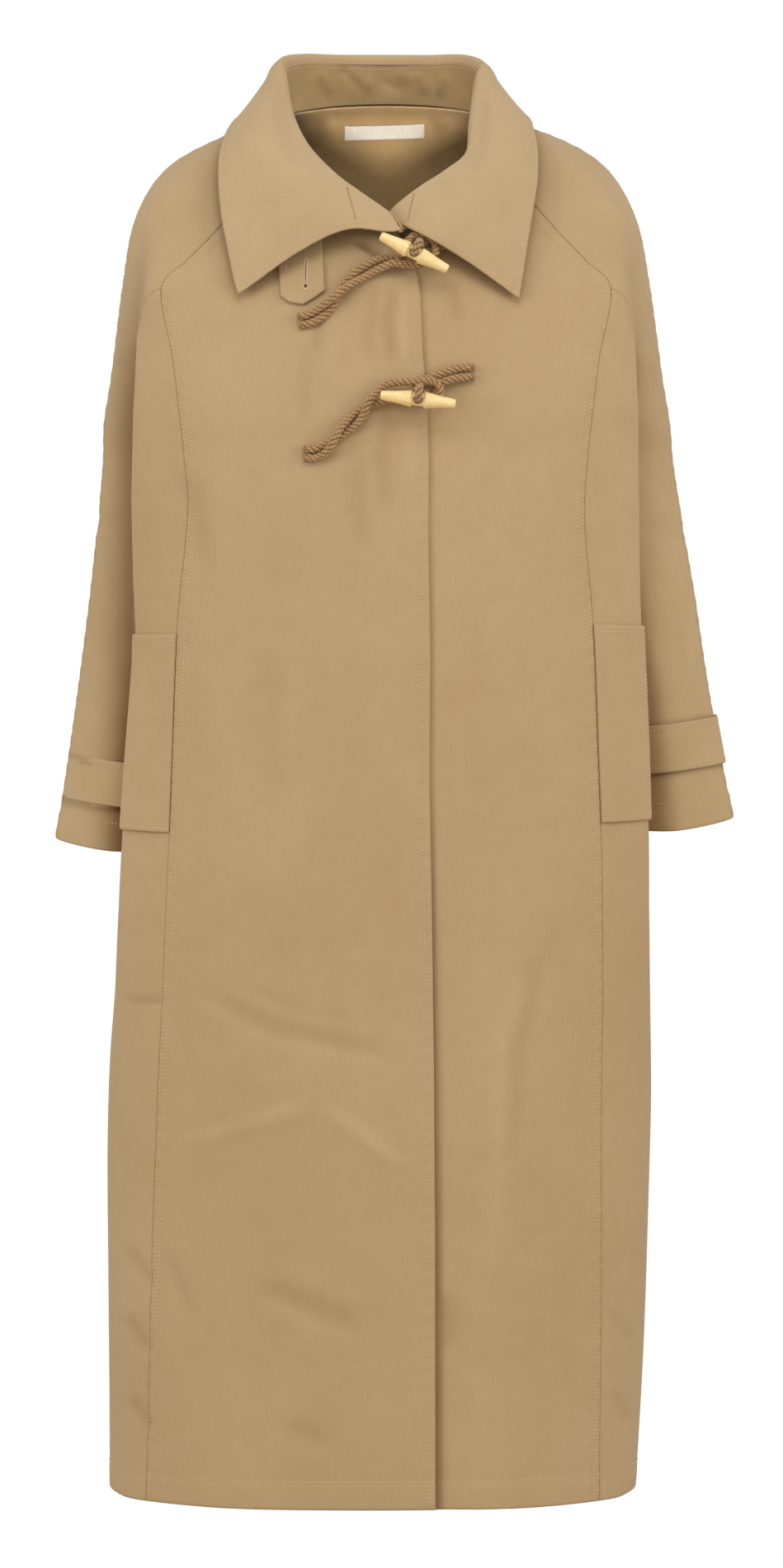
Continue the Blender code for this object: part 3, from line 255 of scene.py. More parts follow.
def sleeveTube(station, row, side):  # 4 and 8 are the underarm line, 6 is outermost
    points = evaluate(1, 3, station, row)
    points[:, 2] += side * coat["sleeveLonger"] * np.clip((-250 - points[:, 2]) / 340, 0, 1)
    return swayed(points if side > 0 else mirrored(points), 2)


def sleeveAll(station, row, side):
    station, row = np.asarray(station, float), np.asarray(row, float)
    points = sleeveTube(station, row, side)
    onFront = (station < 4.0) & (row < coat["underarmRow"])
    if onFront.any():
        points[onFront] = frontBody(side * station[onFront], row[onFront])
    return points


def stationForX(table, rows, start):  # where the front body's x is as the (z, x) table says
    table = np.array(table[::-1], float)
    station = np.full(len(rows), start)
    for _ in range(10):
        here = frontBody(station, rows)
        slope = (frontBody(station + 0.05, rows) - here)[:, 0] / 0.05
        station = station + (np.interp(here[:, 2], table[:, 0], table[:, 1]) - here[:, 0]) / np.maximum(slope, 20)
    return station


def nearestOn(surface, stationRange, rowRange, targets):  # stations and rows where the surface has that x and z
    stations, rows = np.meshgrid(np.linspace(*stationRange, 61), np.linspace(*rowRange, 121))
    stations, rows = stations.ravel(), rows.ravel()
    known = surface(stations, rows)
    targets = np.asarray(targets, float)
    pick = [int(np.argmin((known[:, 0] - x)**2 + (known[:, 2] - z)**2)) for x, z in targets]
    station, row = stations[pick], rows[pick]
    for _ in range(5):
        here = surface(station, row)
        byS = (surface(station + 0.01, row) - here)[:, [0, 2]] / 0.01
        byR = (surface(station, row + 0.01) - here)[:, [0, 2]] / 0.01
        error = targets - here[:, [0, 2]]
        det = byS[:, 0] * byR[:, 1] - byS[:, 1] * byR[:, 0]
        station = np.clip(station + (error[:, 0] * byR[:, 1] - error[:, 1] * byR[:, 0]) / det, *stationRange)
        row = np.clip(row + (byS[:, 0] * error[:, 1] - byS[:, 1] * error[:, 0]) / det, *rowRange)
    return station, row


def onFront(x, z, lift):  # points at x and z, that far before the front of the coat
    station, row = nearestOn(frontBody, (-2.9, 2.9), (0, coat["hemRow"]), np.stack([x, z], 1))
    points = frontBody(station, row)
    points[:, 1] -= lift
    return points


def normalsOf(points, turn=1.0):  # normals of a grid of points
    cross = np.cross(np.gradient(points, axis=0), np.gradient(points, axis=1))
    return unit(cross) * turn


# Creases placed one by one: x, z along each, half its width, its depth (minus for a ridge), its lean
creases = {
    "front": [
        ([(-23.1, -109.8), (-10.6, -118.4), (1.9, -127.1)], 3.2, 2.6, 0),
        ([(-12.6, -104.4), (-1.6, -112.4), (10.6, -121.1)], 3, -1.2, 0),
        ([(9.6, -143.6), (4.3, -177.1), (8.3, -220.6)], 4.5, 1.8, 0),
        ([(19, -147), (16.3, -187.1), (20.3, -223.9)], 4.5, -1.3, 0),
        ([(37.7, -132.3), (56.5, -150.3), (64.5, -187.1)], 5, 1.6, 0),
        ([(-61.3, -190.5), (-64, -234), (-59.3, -274.1)], 5.5, 1.1, 0),
        ([(-42.6, -187.1), (-39.9, -240.7)], 6, -0.9, 0),
        ([(4.3, -254.1), (-1.1, -294.2), (4.3, -347.7)], 6.5, 1.8, 0),
        ([(23, -257.4), (22.4, -321)], 6, -1.1, 0),
        ([(-22.5, -294.2), (-25.8, -347.7)], 8, 0.8, 0),
        ([(-97.4, -438.1), (-94.8, -521.7), (-86.1, -598.7)], 13, 1.6, 0),
        ([(-216.6, -730.5), (-199.8, -733.9), (-172.1, -730.9)], 2.8, 1.2, 0),
        ([(-159.7, -719.2), (-89.4, -756), (24.4, -779.4)], 9, 1.4, 0.5),
        ([(-173, -851), (-118.8, -835), (-42.6, -812)], 7, -1.1, 0),
        ([(-53.9, -812.8), (26.4, -872.3)], 6, -1.2, 0),
        ([(-137.7, -706), (-113.7, -721.1), (-60, -741), (-2, -752)], 5.5, 0.6, 0),
        ([(152.8, -656.9), (124, -710.4), (110, -775.3), (102, -883)], 9, 1.9, 0),
        ([(136.7, -668.9), (99.3, -769.3), (89.3, -983.4)], 9, -1.7, 0),
        ([(-178.3, -931.9), (-151.6, -996.7)], 6, 1.2, 0),
        ([(-211.8, -933.2), (-184.4, -970)], 6, 1.4, 0),
        ([(-16.4, -278.9), (-19.8, -376)], 7, 1.3, 0),
        ([(-3, -140), (-12, -186), (-8, -226)], 5, 1.1, 0),
        ([(-52.6, -171), (-55, -210)], 4.5, 1.2, 0),
        ([(-170, -290), (-150, -340), (-143, -395)], 8, 1.2, 0),
        ([(-109.5, -960.1), (-9.1, -1003.6)], 11, 1.8, 0.5),
        ([(-82.7, -1073.8), (-42.6, -1091.9)], 10, 1.4, 0),
        ([(51.1, -963.4), (54.5, -1023.7)], 8, 1.6, 0),
        ([(-213.2, -990.2), (-189.8, -1023.7)], 6.5, 1.6, 0),
        ([(-209.9, -1057.1), (-188.4, -1087.2)], 6.5, 1.6, 0),
        ([(185, -983.5), (206.4, -1017)], 5, 0.8, 0),
        ([(186.3, -1050.4), (205.1, -1087.2)], 5, 0.9, 0),
    ],
    "stand": [
        ([(-58, 52), (-44, 32)], 4.0, 1.7, 0),
        ([(-40, 56), (-18, 40)], 4.0, -1.3, 0),
        ([(-30, 54), (-6, 36)], 4.0, 1.5, 0),
        ([(-4, 48), (18, 34)], 4.0, -1.4, 0),
        ([(10, 54), (26, 44)], 4.0, 1.3, 0),
        ([(28, 54), (40, 32)], 4.5, 1.6, 0),
        ([(56, 50), (48, 30)], 4.0, 1.7, 0),
    ],
    "back": [
        ([(-58, 30), (-50, -2)], 4, 1.6, 0),
        ([(-46, 28), (-42, 6)], 3.5, -1.3, 0),
        ([(42, 28), (50, 6)], 4, 1.5, 0),
        ([(60, 28), (57, -4)], 4, -1.5, 0),
        ([(-60, -90), (-70, -420), (-55, -820)], 22, 2.2, 0),
        ([(75, -120), (60, -500), (82, -900)], 24, 2.0, 0),
        ([(-5, -300), (5, -700), (-12, -1080)], 20, -1.8, 0),
        ([(-130, -500), (-120, -900)], 20, -2.0, 0),
        ([(140, -620), (128, -1040)], 20, 2.0, 0),
    ],
    "sleeveRight": [
        ([(-203, -190), (-214, -205), (-228, -200)], 6, 0.8, 0),
        ([(-262, -318), (-240, -333), (-215, -333)], 8, 0.9, 0),
        ([(-205, -420), (-230, -440), (-250, -440)], 12, 0.8, 0),
    ],
    "sleeveLeft": [
        ([(203, -195), (216, -212), (232, -208)], 6, 0.8, 0),
        ([(215, -330), (240, -346), (262, -340)], 9, 0.8, 0),
        ([(212, -415), (240, -440), (262, -444)], 12, 0.7, 0),
    ],
}
drape = {"deeper": 1.4, "dusk": 0.08, "swell": 1.1, "long": 150.0, "short": 55.0, "pucker": 0.28,
         "puckerStep": 13.0, "fade": 0.28, "pinned": 14.0}


def alongLine(x, z, line):  # distance to a line of points, share along it and side of it
    best = np.full(x.shape, 1e9)
    share, sign = np.zeros(x.shape), np.ones(x.shape)
    line = np.asarray(line, float)
    lengths = lengthsAlong(line)
    for (ax, az), (bx, bz), start, stop in zip(line[:-1], line[1:], lengths[:-1], lengths[1:]):
        dx, dz = bx - ax, bz - az
        t = np.clip(((x - ax) * dx + (z - az) * dz) / (dx * dx + dz * dz), 0, 1)
        offX, offZ = x - ax - t * dx, z - az - t * dz
        away = np.hypot(offX, offZ)
        nearer = away < best
        best = np.where(nearer, away, best)
        share = np.where(nearer, (start + t * (stop - start)) / lengths[-1], share)
        sign = np.where(nearer, np.sign(offX * dz - offZ * dx), sign)
    return best, share, sign


def creased(points, zone):  # how far the folds move each point, and the painted shade in their troughs and painted highlight on their ridges
    x, z = points[..., 0], points[..., 2]
    move, dark = np.zeros(x.shape), np.zeros(x.shape)
    for line, width, depth, lean in creases.get(zone, []):
        away, share, sign = alongLine(x, z, line)
        fade = softStep(np.clip(share / drape["fade"], 0, 1) * np.clip((1 - share) / drape["fade"], 0, 1))
        across = sign * away / width
        if lean:  # a fold with one steep side and a soft roll beyond it
            shape = np.exp(-across**2 * np.where(across * lean > 0, 2.2, 0.55))
            shape -= 0.55 * np.exp(-(across + 1.7 * np.sign(lean))**2)
        else:
            shape = np.exp(-across**2)
        move -= drape["deeper"] * depth * fade * shape
        # painted shade along a crease, a painted highlight where the depth is minus (a ridge)
        dark += drape["dusk"] * depth * 6 / width * fade * np.clip(shape, 0, 1)
    wave = np.sin(x / drape["long"] * 6.28 + z / 310 + 0.7) * np.sin(z / 190 + x / 260)
    wave += 0.45 * np.sin(x / drape["short"] * 2.2 + z / 120 + 1.9) * np.sin(z / 75 + 0.4 + x / 90)
    return move + drape["swell"] * wave, dark


def spaced(width, step, fineAt=(True, True)):  # shares across a width, closer together at the seams
    near = [0, 1.0, 2.4, 4.2, 6.4, 9.2, 12.6]
    low, high = (near if fine else [0] for fine in fineAt)
    inner = max(width - low[-1] - high[-1], step)
    count = max(int(round(inner / step)), 1)
    middle = list(low[-1] + inner * np.arange(1, count) / count)
    spots = np.array(low + middle + [low[-1] + inner + high[-1] - h for h in high[::-1]])
    return spots / spots[-1]


def declare(piece, solid=None):  # all pieces ride on the one body; solid is the node that it stands for
    if solid:
        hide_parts(solid)
    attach(piece, "root")


def pieceFrom(build, name, look=None):  # a smooth object at the origin
    for face in build.faces:
        face.smooth = True
    mesh = bpy.data.meshes.new(name)
    build.to_mesh(mesh)
    build.free()
    piece = bpy.data.objects.new(name, mesh)
    bpy.context.scene.collection.objects.link(piece)
    if look:
        mesh.materials.append(look)
    return piece


def gridObject(name, points, normals, look, thickness, dark):
    rows, columns = points.shape[:2]
    across, down = gridLengths(points)
    middle = columns // 2
    u, v = (across - across[:, middle, None]) / 1000, -down[:, middle] / 1000
    build = bmesh.new()
    bmesh.ops.create_grid(build, x_segments=columns - 1, y_segments=rows - 1, size=1.0)
    uvs = build.loops.layers.uv.new("cloth")
    shade = build.verts.layers.float.new("shade")
    for vert in build.verts:
        r = round((1 - vert.co.y) / 2 * (rows - 1))
        c = round((1 + vert.co.x) / 2 * (columns - 1))
        vert.co = points[r, c] / 1000
        vert[shade] = dark[r, c]
        vert.index = r * columns + c
    for face in build.faces:
        for loop in face.loops:
            r, c = divmod(loop.vert.index, columns)
            loop[uvs].uv = (u[r, c], v[r])
    build.normal_update()
    facing = sum(face.normal.dot(Vector(normals[divmod(face.verts[0].index, columns)]))
                 for face in build.faces[:][::37])
    if facing < 0:
        bmesh.ops.reverse_faces(build, faces=build.faces[:])
    piece = pieceFrom(build, name, look)
    shell = piece.modifiers.new("thickness", "SOLIDIFY")
    shell.thickness, shell.offset, shell.use_even_offset = thickness / 1000, -1.0, False
    return piece


cutSizes = []


def declareSheet(piece, points, solid):
    across, down = gridLengths(points)
    width, length = float(across[:, -1].max()) / 1000, float(down[-1].max()) / 1000
    declare(piece, solid)
    cutSizes.append((piece.name, round(width * 1000), round(length * 1000)))


def linear(hexColour):  # sRGB hex to the shader's linear colour
    parts = [int(hexColour[i:i + 2], 16) / 255 for i in (1, 3, 5)]
    return tuple(c / 12.92 if c <= 0.04045 else ((c + 0.055) / 1.055)**2.4 for c in parts) + (1.0,)


def newMaterial(name, roughness, colour=(0.8, 0.8, 0.8, 1)):
    made = bpy.data.materials.new(name)
    made.use_nodes = True
    shader = made.node_tree.nodes["Principled BSDF"]
    shader.inputs["Roughness"].default_value = roughness
    shader.inputs["Base Color"].default_value = colour
    return made, made.node_tree, shader


def setSocket(tree, socket, value):
    if isinstance(value, bpy.types.NodeSocket):
        tree.links.new(value, socket)
    else:
        socket.default_value = value


def addNode(tree, kind, inputs=None, **settings):
    node = tree.nodes.new(kind)
    for key, value in settings.items():
        setattr(node, key, value)
    for key, value in (inputs or {}).items():
        setSocket(tree, node.inputs[key], value)
    return node


def ramp(tree, factor, stops):
    node = addNode(tree, "ShaderNodeValToRGB", {"Fac": factor})
    while len(node.color_ramp.elements) < len(stops):
        node.color_ramp.elements.new(0.5)
    for element, (place, colour) in zip(node.color_ramp.elements, stops):
        element.position = place
        element.color = linear(colour) if isinstance(colour, str) else (colour, colour, colour, 1)
    return node.outputs["Color"]


def mathNode(tree, operation, *values):
    return addNode(tree, "ShaderNodeMath", dict(enumerate(values)), operation=operation).outputs[0]


def weighted(tree, *terms):  # the sum of sockets, each times its weight
    total, *others = [mathNode(tree, "MULTIPLY", socket, weight) for socket, weight in terms]
    for term in others:
        total = mathNode(tree, "ADD", total, term)
    return total


def mixColour(tree, factor, one, other, blend="MIX"):
    return addNode(tree, "ShaderNodeMix", {0: factor, 6: one, 7: other}, data_type="RGBA",
                   blend_type=blend).outputs[2]


def spotOn(tree, uvMap=None):  # where on the piece: its own metres in space, or along its cloth, yarn or grain
    if uvMap:
        return addNode(tree, "ShaderNodeUVMap", uv_map=uvMap).outputs[0]
    return addNode(tree, "ShaderNodeTexCoord").outputs["Object"]


def drawnShade(tree):
    return addNode(tree, "ShaderNodeAttribute", attribute_name="shade").outputs["Fac"]


def noise(tree, vector, scale, detail=3.0, rough=0.55, stretch=None):
    if stretch:
        vector = addNode(tree, "ShaderNodeMapping", {"Vector": vector, "Scale": stretch}).outputs[0]
    return addNode(tree, "ShaderNodeTexNoise", {"Vector": vector, "Scale": scale, "Detail": detail,
                                                "Roughness": rough}).outputs["Fac"]


def ribs(tree, vector, degrees, scale, distortion, detailScale):  # bands turned on the cloth
    turn = {"Vector": vector, "Rotation": (0, 0, math.radians(degrees))}
    turned = addNode(tree, "ShaderNodeMapping", turn).outputs[0]
    return addNode(tree, "ShaderNodeTexWave", {"Vector": turned, "Scale": scale, "Distortion": distortion,
                   "Detail": 2.0, "Detail Scale": detailScale}, wave_type="BANDS",
                   bands_direction="X").outputs["Fac"]


def finishLook(tree, shader, base, bump=None, values=()):  # bump: strength, distance in metres, height
    tree.links.new(base, shader.inputs["Base Color"])
    if bump:
        made = addNode(tree, "ShaderNodeBump", dict(zip(("Strength", "Distance", "Height"), bump)))
        tree.links.new(made.outputs[0], shader.inputs["Normal"])
    for name, value in dict(values).items():
        setSocket(tree, shader.inputs[name], value)


twill = {"ribs": 900.0, "angle": 63, "ridgeHighlight": "#E3C79C"}  # ribs in a metre; real cotton twill has about 1,600. Last, the colour of the painted highlight on the ridges


def cottonTwill(name, light, dark, dusk):
    # fine cotton twill, woven on a diagonal, washed and pressed: light nap on the high threads.
    # Its drawn shade attribute mixes in painted shade toward dusk in folds, seams and shadowed places, and a painted
    # highlight on the ridges
    made, tree, shader = newMaterial(name, 0.88)
    place, uv = spotOn(tree), spotOn(tree, "cloth")
    broad = noise(tree, place, 5.5, 3.0, 0.5)
    mottled = noise(tree, place, 42.0, 4.0, 0.62)
    slub = noise(tree, uv, 420.0, 2.0, 0.6, (1.0, 0.25, 1.0))
    rib = ribs(tree, uv, twill["angle"], twill["ribs"] * 0.314, 1.2, 3.0)
    base = ramp(tree, weighted(tree, (broad, 0.5), (mottled, 0.3), (slub, 0.2)), [(0.36, dark), (0.62, light)])
    base = mixColour(tree, 0.45, base, ramp(tree, rib, [(0.0, 0.93), (0.7, 1.0)]), "MULTIPLY")
    depth = drawnShade(tree)
    # painted shade toward dusk, then a painted highlight toward the ridge colour
    for sign, colour in ((1.0, dusk), (-1.0, twill["ridgeHighlight"])):
        share = mathNode(tree, "MAXIMUM", mathNode(tree, "MULTIPLY", depth, sign), 0.0)
        base = mixColour(tree, share, base, linear(colour))
    finishLook(tree, shader, base, (0.35, 0.0005, weighted(tree, (rib, 0.5), (mottled, 0.9), (slub, 0.35))),
               {"Sheen Weight": 0.10, "Sheen Roughness": 0.45, "Specular IOR Level": 0.18})
    return made


def sewingThread():  # matt cotton topstitching thread, twisted
    made, tree, shader = newMaterial("sewingThread", 0.7)
    finishLook(tree, shader, ramp(tree, noise(tree, spotOn(tree), 900.0, 2.0), [(0.3, "#CDB185"), (0.7, "#E2CA9F")]),
               values={"Sheen Weight": 0.15})
    return made


def twistedJute():  # brown three-strand cord of fine yarns, a little hairy
    made, tree, shader = newMaterial("twistedCord", 0.8)
    yarn = ribs(tree, spotOn(tree, "yarn"), -24, 260.0, 1.6, 2.0)
    tone = weighted(tree, (yarn, 0.45), (noise(tree, spotOn(tree), 320.0, 4.0, 0.65), 0.55))
    base = ramp(tree, tone, [(0.25, "#8B673E"), (0.5, "#B38B5B"), (0.78, "#CDA673")])
    # painted shade toward dark brown in the grooves between the strands
    base = mixColour(tree, mathNode(tree, "MULTIPLY", drawnShade(tree), 0.8), base, linear("#5B3D20"))
    finishLook(tree, shader, base, (0.6, 0.0004, tone), {"Sheen Weight": 0.2})
    return made


def turnedWood():  # pale lime wood, turned on a lathe and varnished
    made, tree, shader = newMaterial("turnedLimeWood", 0.36)
    uv = spotOn(tree, "grain")
    bent = addNode(tree, "ShaderNodeMapping", {"Vector": uv, "Scale": (1.0, 9.0, 1.0)}).outputs[0]
    warp = noise(tree, uv, 22.0, 3.0, 0.5, (1.0, 6.0, 1.0))
    bent = addNode(tree, "ShaderNodeVectorMath", {0: bent, 1: warp}, operation="ADD").outputs[0]
    fine = noise(tree, uv, 160.0, 3.0, 0.6, (1.0, 14.0, 1.0))
    tone = weighted(tree, (noise(tree, bent, 34.0, 5.0, 0.6), 0.7), (fine, 0.3))
    base = ramp(tree, tone, [(0.32, "#F7CB78"), (0.5, "#FFE09A"), (0.68, "#FFEFC4")])
    # painted shade toward a darker wood where the shade attribute is set
    finishLook(tree, shader, mixColour(tree, drawnShade(tree), base, linear("#B98440")), (0.15, 0.0002, fine),
               {"Coat Weight": 0.4, "Coat Roughness": 0.18})
    return made


def wovenTape():  # cream satin label tape
    made, tree, shader = newMaterial("labelTape", 0.55)
    thread = noise(tree, spotOn(tree, "cloth"), 900.0, 2.0, 0.5, (1.0, 0.15, 1.0))
    finishLook(tree, shader, ramp(tree, thread, [(0.3, "#DED6C8"), (0.7, "#EDE7DC")]), (0.25, 0.0002, thread))
    return made


def castButton():  # cast dark brown plastic, polished, with a cloudy grain
    made, tree, shader = newMaterial("castBrownButton", 0.28)
    cloud = noise(tree, spotOn(tree), 140.0, 4.0, 0.6, (1.0, 1.0, 0.3))
    finishLook(tree, shader, ramp(tree, cloud, [(0.35, "#4A3220"), (0.65, "#80603F")]),
               values={"Roughness": ramp(tree, cloud, [(0.3, 0.22), (0.7, 0.4)])})
    return made


coatCloth = cottonTwill("fawnCottonTwill", "#C2A57C", "#BA9C72", "#6A461B")
collarCloth = cottonTwill("collarCottonTwill", "#C6AA82", "#BEA178", "#6E4B20")
# the inside faces and the collar stand: the same twill, a little darker and more saturated, as painted shade for the
# inside of the coat
innerCloth = cottonTwill("innerCottonTwill", "#C0A274", "#AF8F61", "#69441C")
seamShadeLook = newMaterial("seamDitchShade", 0.9, linear("#AA8C62"))[0]  # painted shade: dark stitches for a seam's shaded ditch and the shadow line along the welts' edges
slitLook = newMaterial("slitShade", 0.9, linear("#5E4225"))[0]  # painted shade: the dark inside of a buttonhole's cut
threadLook, cordLook, woodLook = sewingThread(), twistedJute(), turnedWood()
tapeLook, buttonLook = wovenTape(), castButton()
print("materials made")

sewing = {"length": 2.5, "pitch": 3.3, "width": 0.85, "height": 0.7, "slant": 8.0, "proud": 0.16}
stitchSpots = {}
# Kinds of seam: the cloth's height at distances from it, sunk in the seam and raised over its allowance
relief = {
    "plain": ([0, 1.0, 2.4], [-0.25, -0.05, 0]),
    "edge": ([0, 1.0, 2.4, 5.0, 6.4, 7.8], [-0.35, 0, 0.2, 0.1, -0.3, 0]),
    "hem": ([0, 1.0, 2.4, 12, 20, 22.7, 25.5, 32], [-0.7, -0.1, 0.1, 0.35, 0.25, -0.35, -0.05, 0]),
    "double": ([0, 1.0, 2.0, 4.2, 6.4, 8.0, 10, 14], [-0.25, 0, -0.05, 0.3, 0.25, -0.15, 0.05, 0]),
}
puckers = {"double": 7.0, "edge": 6.0, "hem": 12.0}  # how far the sewing puckers the cloth


def clothPiece(name, solid, points, turn, zone, seams, look,
               thickness=coat["thickness"], lift=0.0, inner=None, shade=None, pinned=None, pull=None):
    # seams: kind of edge at left, right, top, bottom; pinned: the edge that the folds leave alone
    distance = fromEdges(points)
    normals = normalsOf(points, turn)
    move, dark = creased(points, zone)
    if pinned:
        move = move * np.clip(distance[pinned] / drape["pinned"], 0, 1)
    move = move + lift
    for side, kind in seams.items():
        away = distance[side]
        move = move + np.interp(away, *relief[kind])
        if kind in puckers:
            along = distance["top" if side in ("left", "right") else "left"]
            pucker = np.sin(along / drape["puckerStep"] * 6.28 + np.sin(along / 31.0) * 2.2)
            move = move + drape["pucker"] * pucker * np.exp(-((away - puckers[kind] * 0.6) / puckers[kind])**2)
        # painted shade in the ditch of each sewn seam
        if kind in ("double", "plain"):
            dark = dark + np.interp(away, [0, 1.0, 2.4], [0.1, 0.02, 0.0])
    final = points + normals * move[..., None]
    if pull:
        final[..., 0] += pull(final)
    turned = final.swapaxes(0, 1)
    for side, rim in (("left", final[:, :2]), ("right", final[:, :-3:-1]), ("top", turned[:, :2]),
                      ("bottom", turned[:, :-3:-1])):
        if seams.get(side) in ("double", "plain"):  # neighbours stay apart at their seam
            rim[:, 0] += unit(rim[:, 1] - rim[:, 0]) * coat["seamGap"] / 2
    if shade:
        dark = dark + shade(final)
    piece = gridObject(name, final, normals, look, thickness, dark)
    if inner:
        piece.data.materials.append(inner)
        piece.modifiers["thickness"].material_offset = 1
    declareSheet(piece, final, solid)
    return final, normalsOf(final, turn)


def lineIn(sheet, side, inset, start=0.0, stop=0.0):  # a line at a distance from one edge, with its normals
    points, normals = sheet
    if side in ("top", "bottom"):
        points, normals = points.swapaxes(0, 1), normals.swapaxes(0, 1)
    if side in ("right", "bottom"):
        points, normals = points[:, ::-1], normals[:, ::-1]
    across = gridLengths(points)[0]
    line, turn = (np.concatenate([between([inset], known, row) for known, row in zip(across, rows)])
                  for rows in (points, normals))
    lengths = lengthsAlong(line)
    at = np.linspace(start, lengths[-1] - stop, max(int((lengths[-1] - stop - start) / 2.0), 2))
    return between(at, lengths, line), between(at, lengths, turn)


def stitched(group, line, normals, pitch=sewing["pitch"]):  # keeps place, direction and normal of each stitch
    lengths = lengthsAlong(line)
    at = np.arange(pitch / 2, lengths[-1], pitch)
    place, ahead, behind = (between(at + shift, lengths, line) for shift in (0, 0.8, -0.8))
    stitchSpots.setdefault(group, []).append((place, ahead - behind, between(at, lengths, normals)))


def sewRows():
    slant = math.radians(sewing["slant"])
    size = Matrix.Diagonal((*(sewing[key] / 2000 for key in ("length", "width", "height")), 1))
    for group, rows in stitchSpots.items():
        build = bmesh.new()
        for place, way, turn in (spot for row in rows for spot in zip(*row)):
            turn, way = Vector(turn).normalized(), Vector(way)
            way = (way - turn * way.dot(turn)).normalized()
            side = turn.cross(way)
            way, side = (way * math.cos(slant) + side * math.sin(slant),
                         side * math.cos(slant) - way * math.sin(slant))
            turned = Matrix((way, side, turn)).transposed().to_4x4()
            spot = Matrix.Translation((Vector(place) + turn * sewing["proud"]) / 1000)
            bmesh.ops.create_icosphere(build, subdivisions=1, radius=1.0, matrix=spot @ turned @ size)
        # rows named for a seam take the dark look: painted shade of a seam's ditch or a welt's shadow line
        declare(pieceFrom(build, "stitches_" + group, seamShadeLook if "Seam" in group else threadLook))


def evenRows(surface, station, low, high, step):  # rows evenly spaced down the cloth
    rows = np.linspace(low, high, 500)
    lengths = lengthsAlong(surface(np.full(500, station), rows))
    return np.interp(spaced(lengths[-1], step) * lengths[-1], lengths, rows)


def gridOn(surface, stations, rows):
    stations, rows = np.broadcast_arrays(stations, rows)
    return surface(stations.ravel(), rows.ravel()).reshape(*stations.shape, 3)


sides = {"Left": 1.0, "Right": -1.0}  # the wearer's left is at positive x
# A strap: heights of its two edges round the sleeve, stations of its end and its button
strap = {"edge": 4.6, "lift": 2.0, "start": 4.05,
         "Left": ((-509, -506, -497, -494), (-549, -546, -537, -534), 6.75, 6.35),
         "Right": ((-541, -538, -527, -524), (-578, -575, -566, -563), 6.9, 6.5)}
# Shade that is drawn on the cloth: its strength and its reach in mm
sleeveShade = {"Left": {"strength": 0.22, "reach": 15, "edge": [200, 206, 210, 217, 223, 225]},
               "Right": {"strength": 0.66, "reach": 19, "edge": [193, 199, 206, 209, 211, 217]},
               "edgeDown": [97, 160, 223, 430, 473, 600], "strapAcross": [187, 237, 281],
               "overStrap": (0.3, 2.2), "underStrap": (0.42, 4.0)}
lapShade = {"down": [120, 530, 680, 1142], "reach": [1.2, 1.4, 3.0, 5.5], "strength": [0.25, 0.25, 0.62, 0.66]}
collarShade = {"strength": 0.24, "reach": 5.5}
collar["edge"] = [(row[4][0], row[4][2]) for row in collar["net"][7::-1]]
collar["edge"] += [(x, z) for x, _, z in collar["net"][0][3:0:-1] + collar["net"][20][1:4]]
collar["edge"] += [(row[4][0], row[4][2]) for row in collar["net"][:12:-1]]


def paintedCollarShadow(points):  # painted shadow on cloth close to the collar's free edge
    away = alongLine(points[..., 0], points[..., 2], collar["edge"])[0]
    return collarShade["strength"] * np.exp(-(away / collarShade["reach"])**2) * (points[..., 1] < 20)


def onSleeve(side):  # painted shade on the sleeve where the body's side, the collar and the strap meet it
    own, (tops, feet) = sleeveShade[side], strap[side][:2]

    def shade(points):
        x, z = points[..., 0] * sides[side], points[..., 2]
        above, below = (np.interp(x, sleeveShade["strapAcross"], heights[:3]) for heights in (tops, feet))
        strapShade = 0.0
        for away, (strength, reach) in ((z - above, sleeveShade["overStrap"]),
                                        (below - z, sleeveShade["underStrap"])):
            strapShade = strapShade + strength * np.exp(-(np.maximum(away, 0) / reach)**2) * (away > -3)
        beyond = x - np.interp(-z, sleeveShade["edgeDown"], own["edge"])
        beside = np.clip((beyond + 5) / 5, 0, 1) * np.exp(-(np.clip(beyond, 0, 200) / own["reach"])**2)
        beside = beside * np.clip((-z - 110) / 130, 0, 1) * np.clip((40 - points[..., 1]) / 40, 0, 1)
        return own["strength"] * beside + paintedCollarShadow(points) + strapShade
    return shade


def underLap(points):  # painted shade on the under front beside the lap's edge, and the collar's painted shadow
    down = -points[..., 2]
    edge = np.interp(points[..., 2], *np.array(coat["lapEdge"][::-1], float).T)
    reach, strength = (np.interp(down, lapShade["down"], lapShade[key]) for key in ("reach", "strength"))
    return strength * np.exp(-(np.clip(points[..., 0] - edge, 0, 99) / reach)**2) + paintedCollarShadow(points)


def pulledIn(points):  # the viewer's left side hangs closer to the leg beside the pocket
    pull = np.interp(-points[..., 2], [320, 388, 430, 455, 522, 589, 656, 760], [0, 2.6, 5.6, 6.2, 4.6, 2.8, 1.6, 0])
    return pull * softStep(np.clip((-points[..., 0] - 165) / 45, 0, 1))
pieces = {}
hemAt, cuffAt, underAt = coat["hemRow"], coat["cuffRow"], coat["underarmRow"]

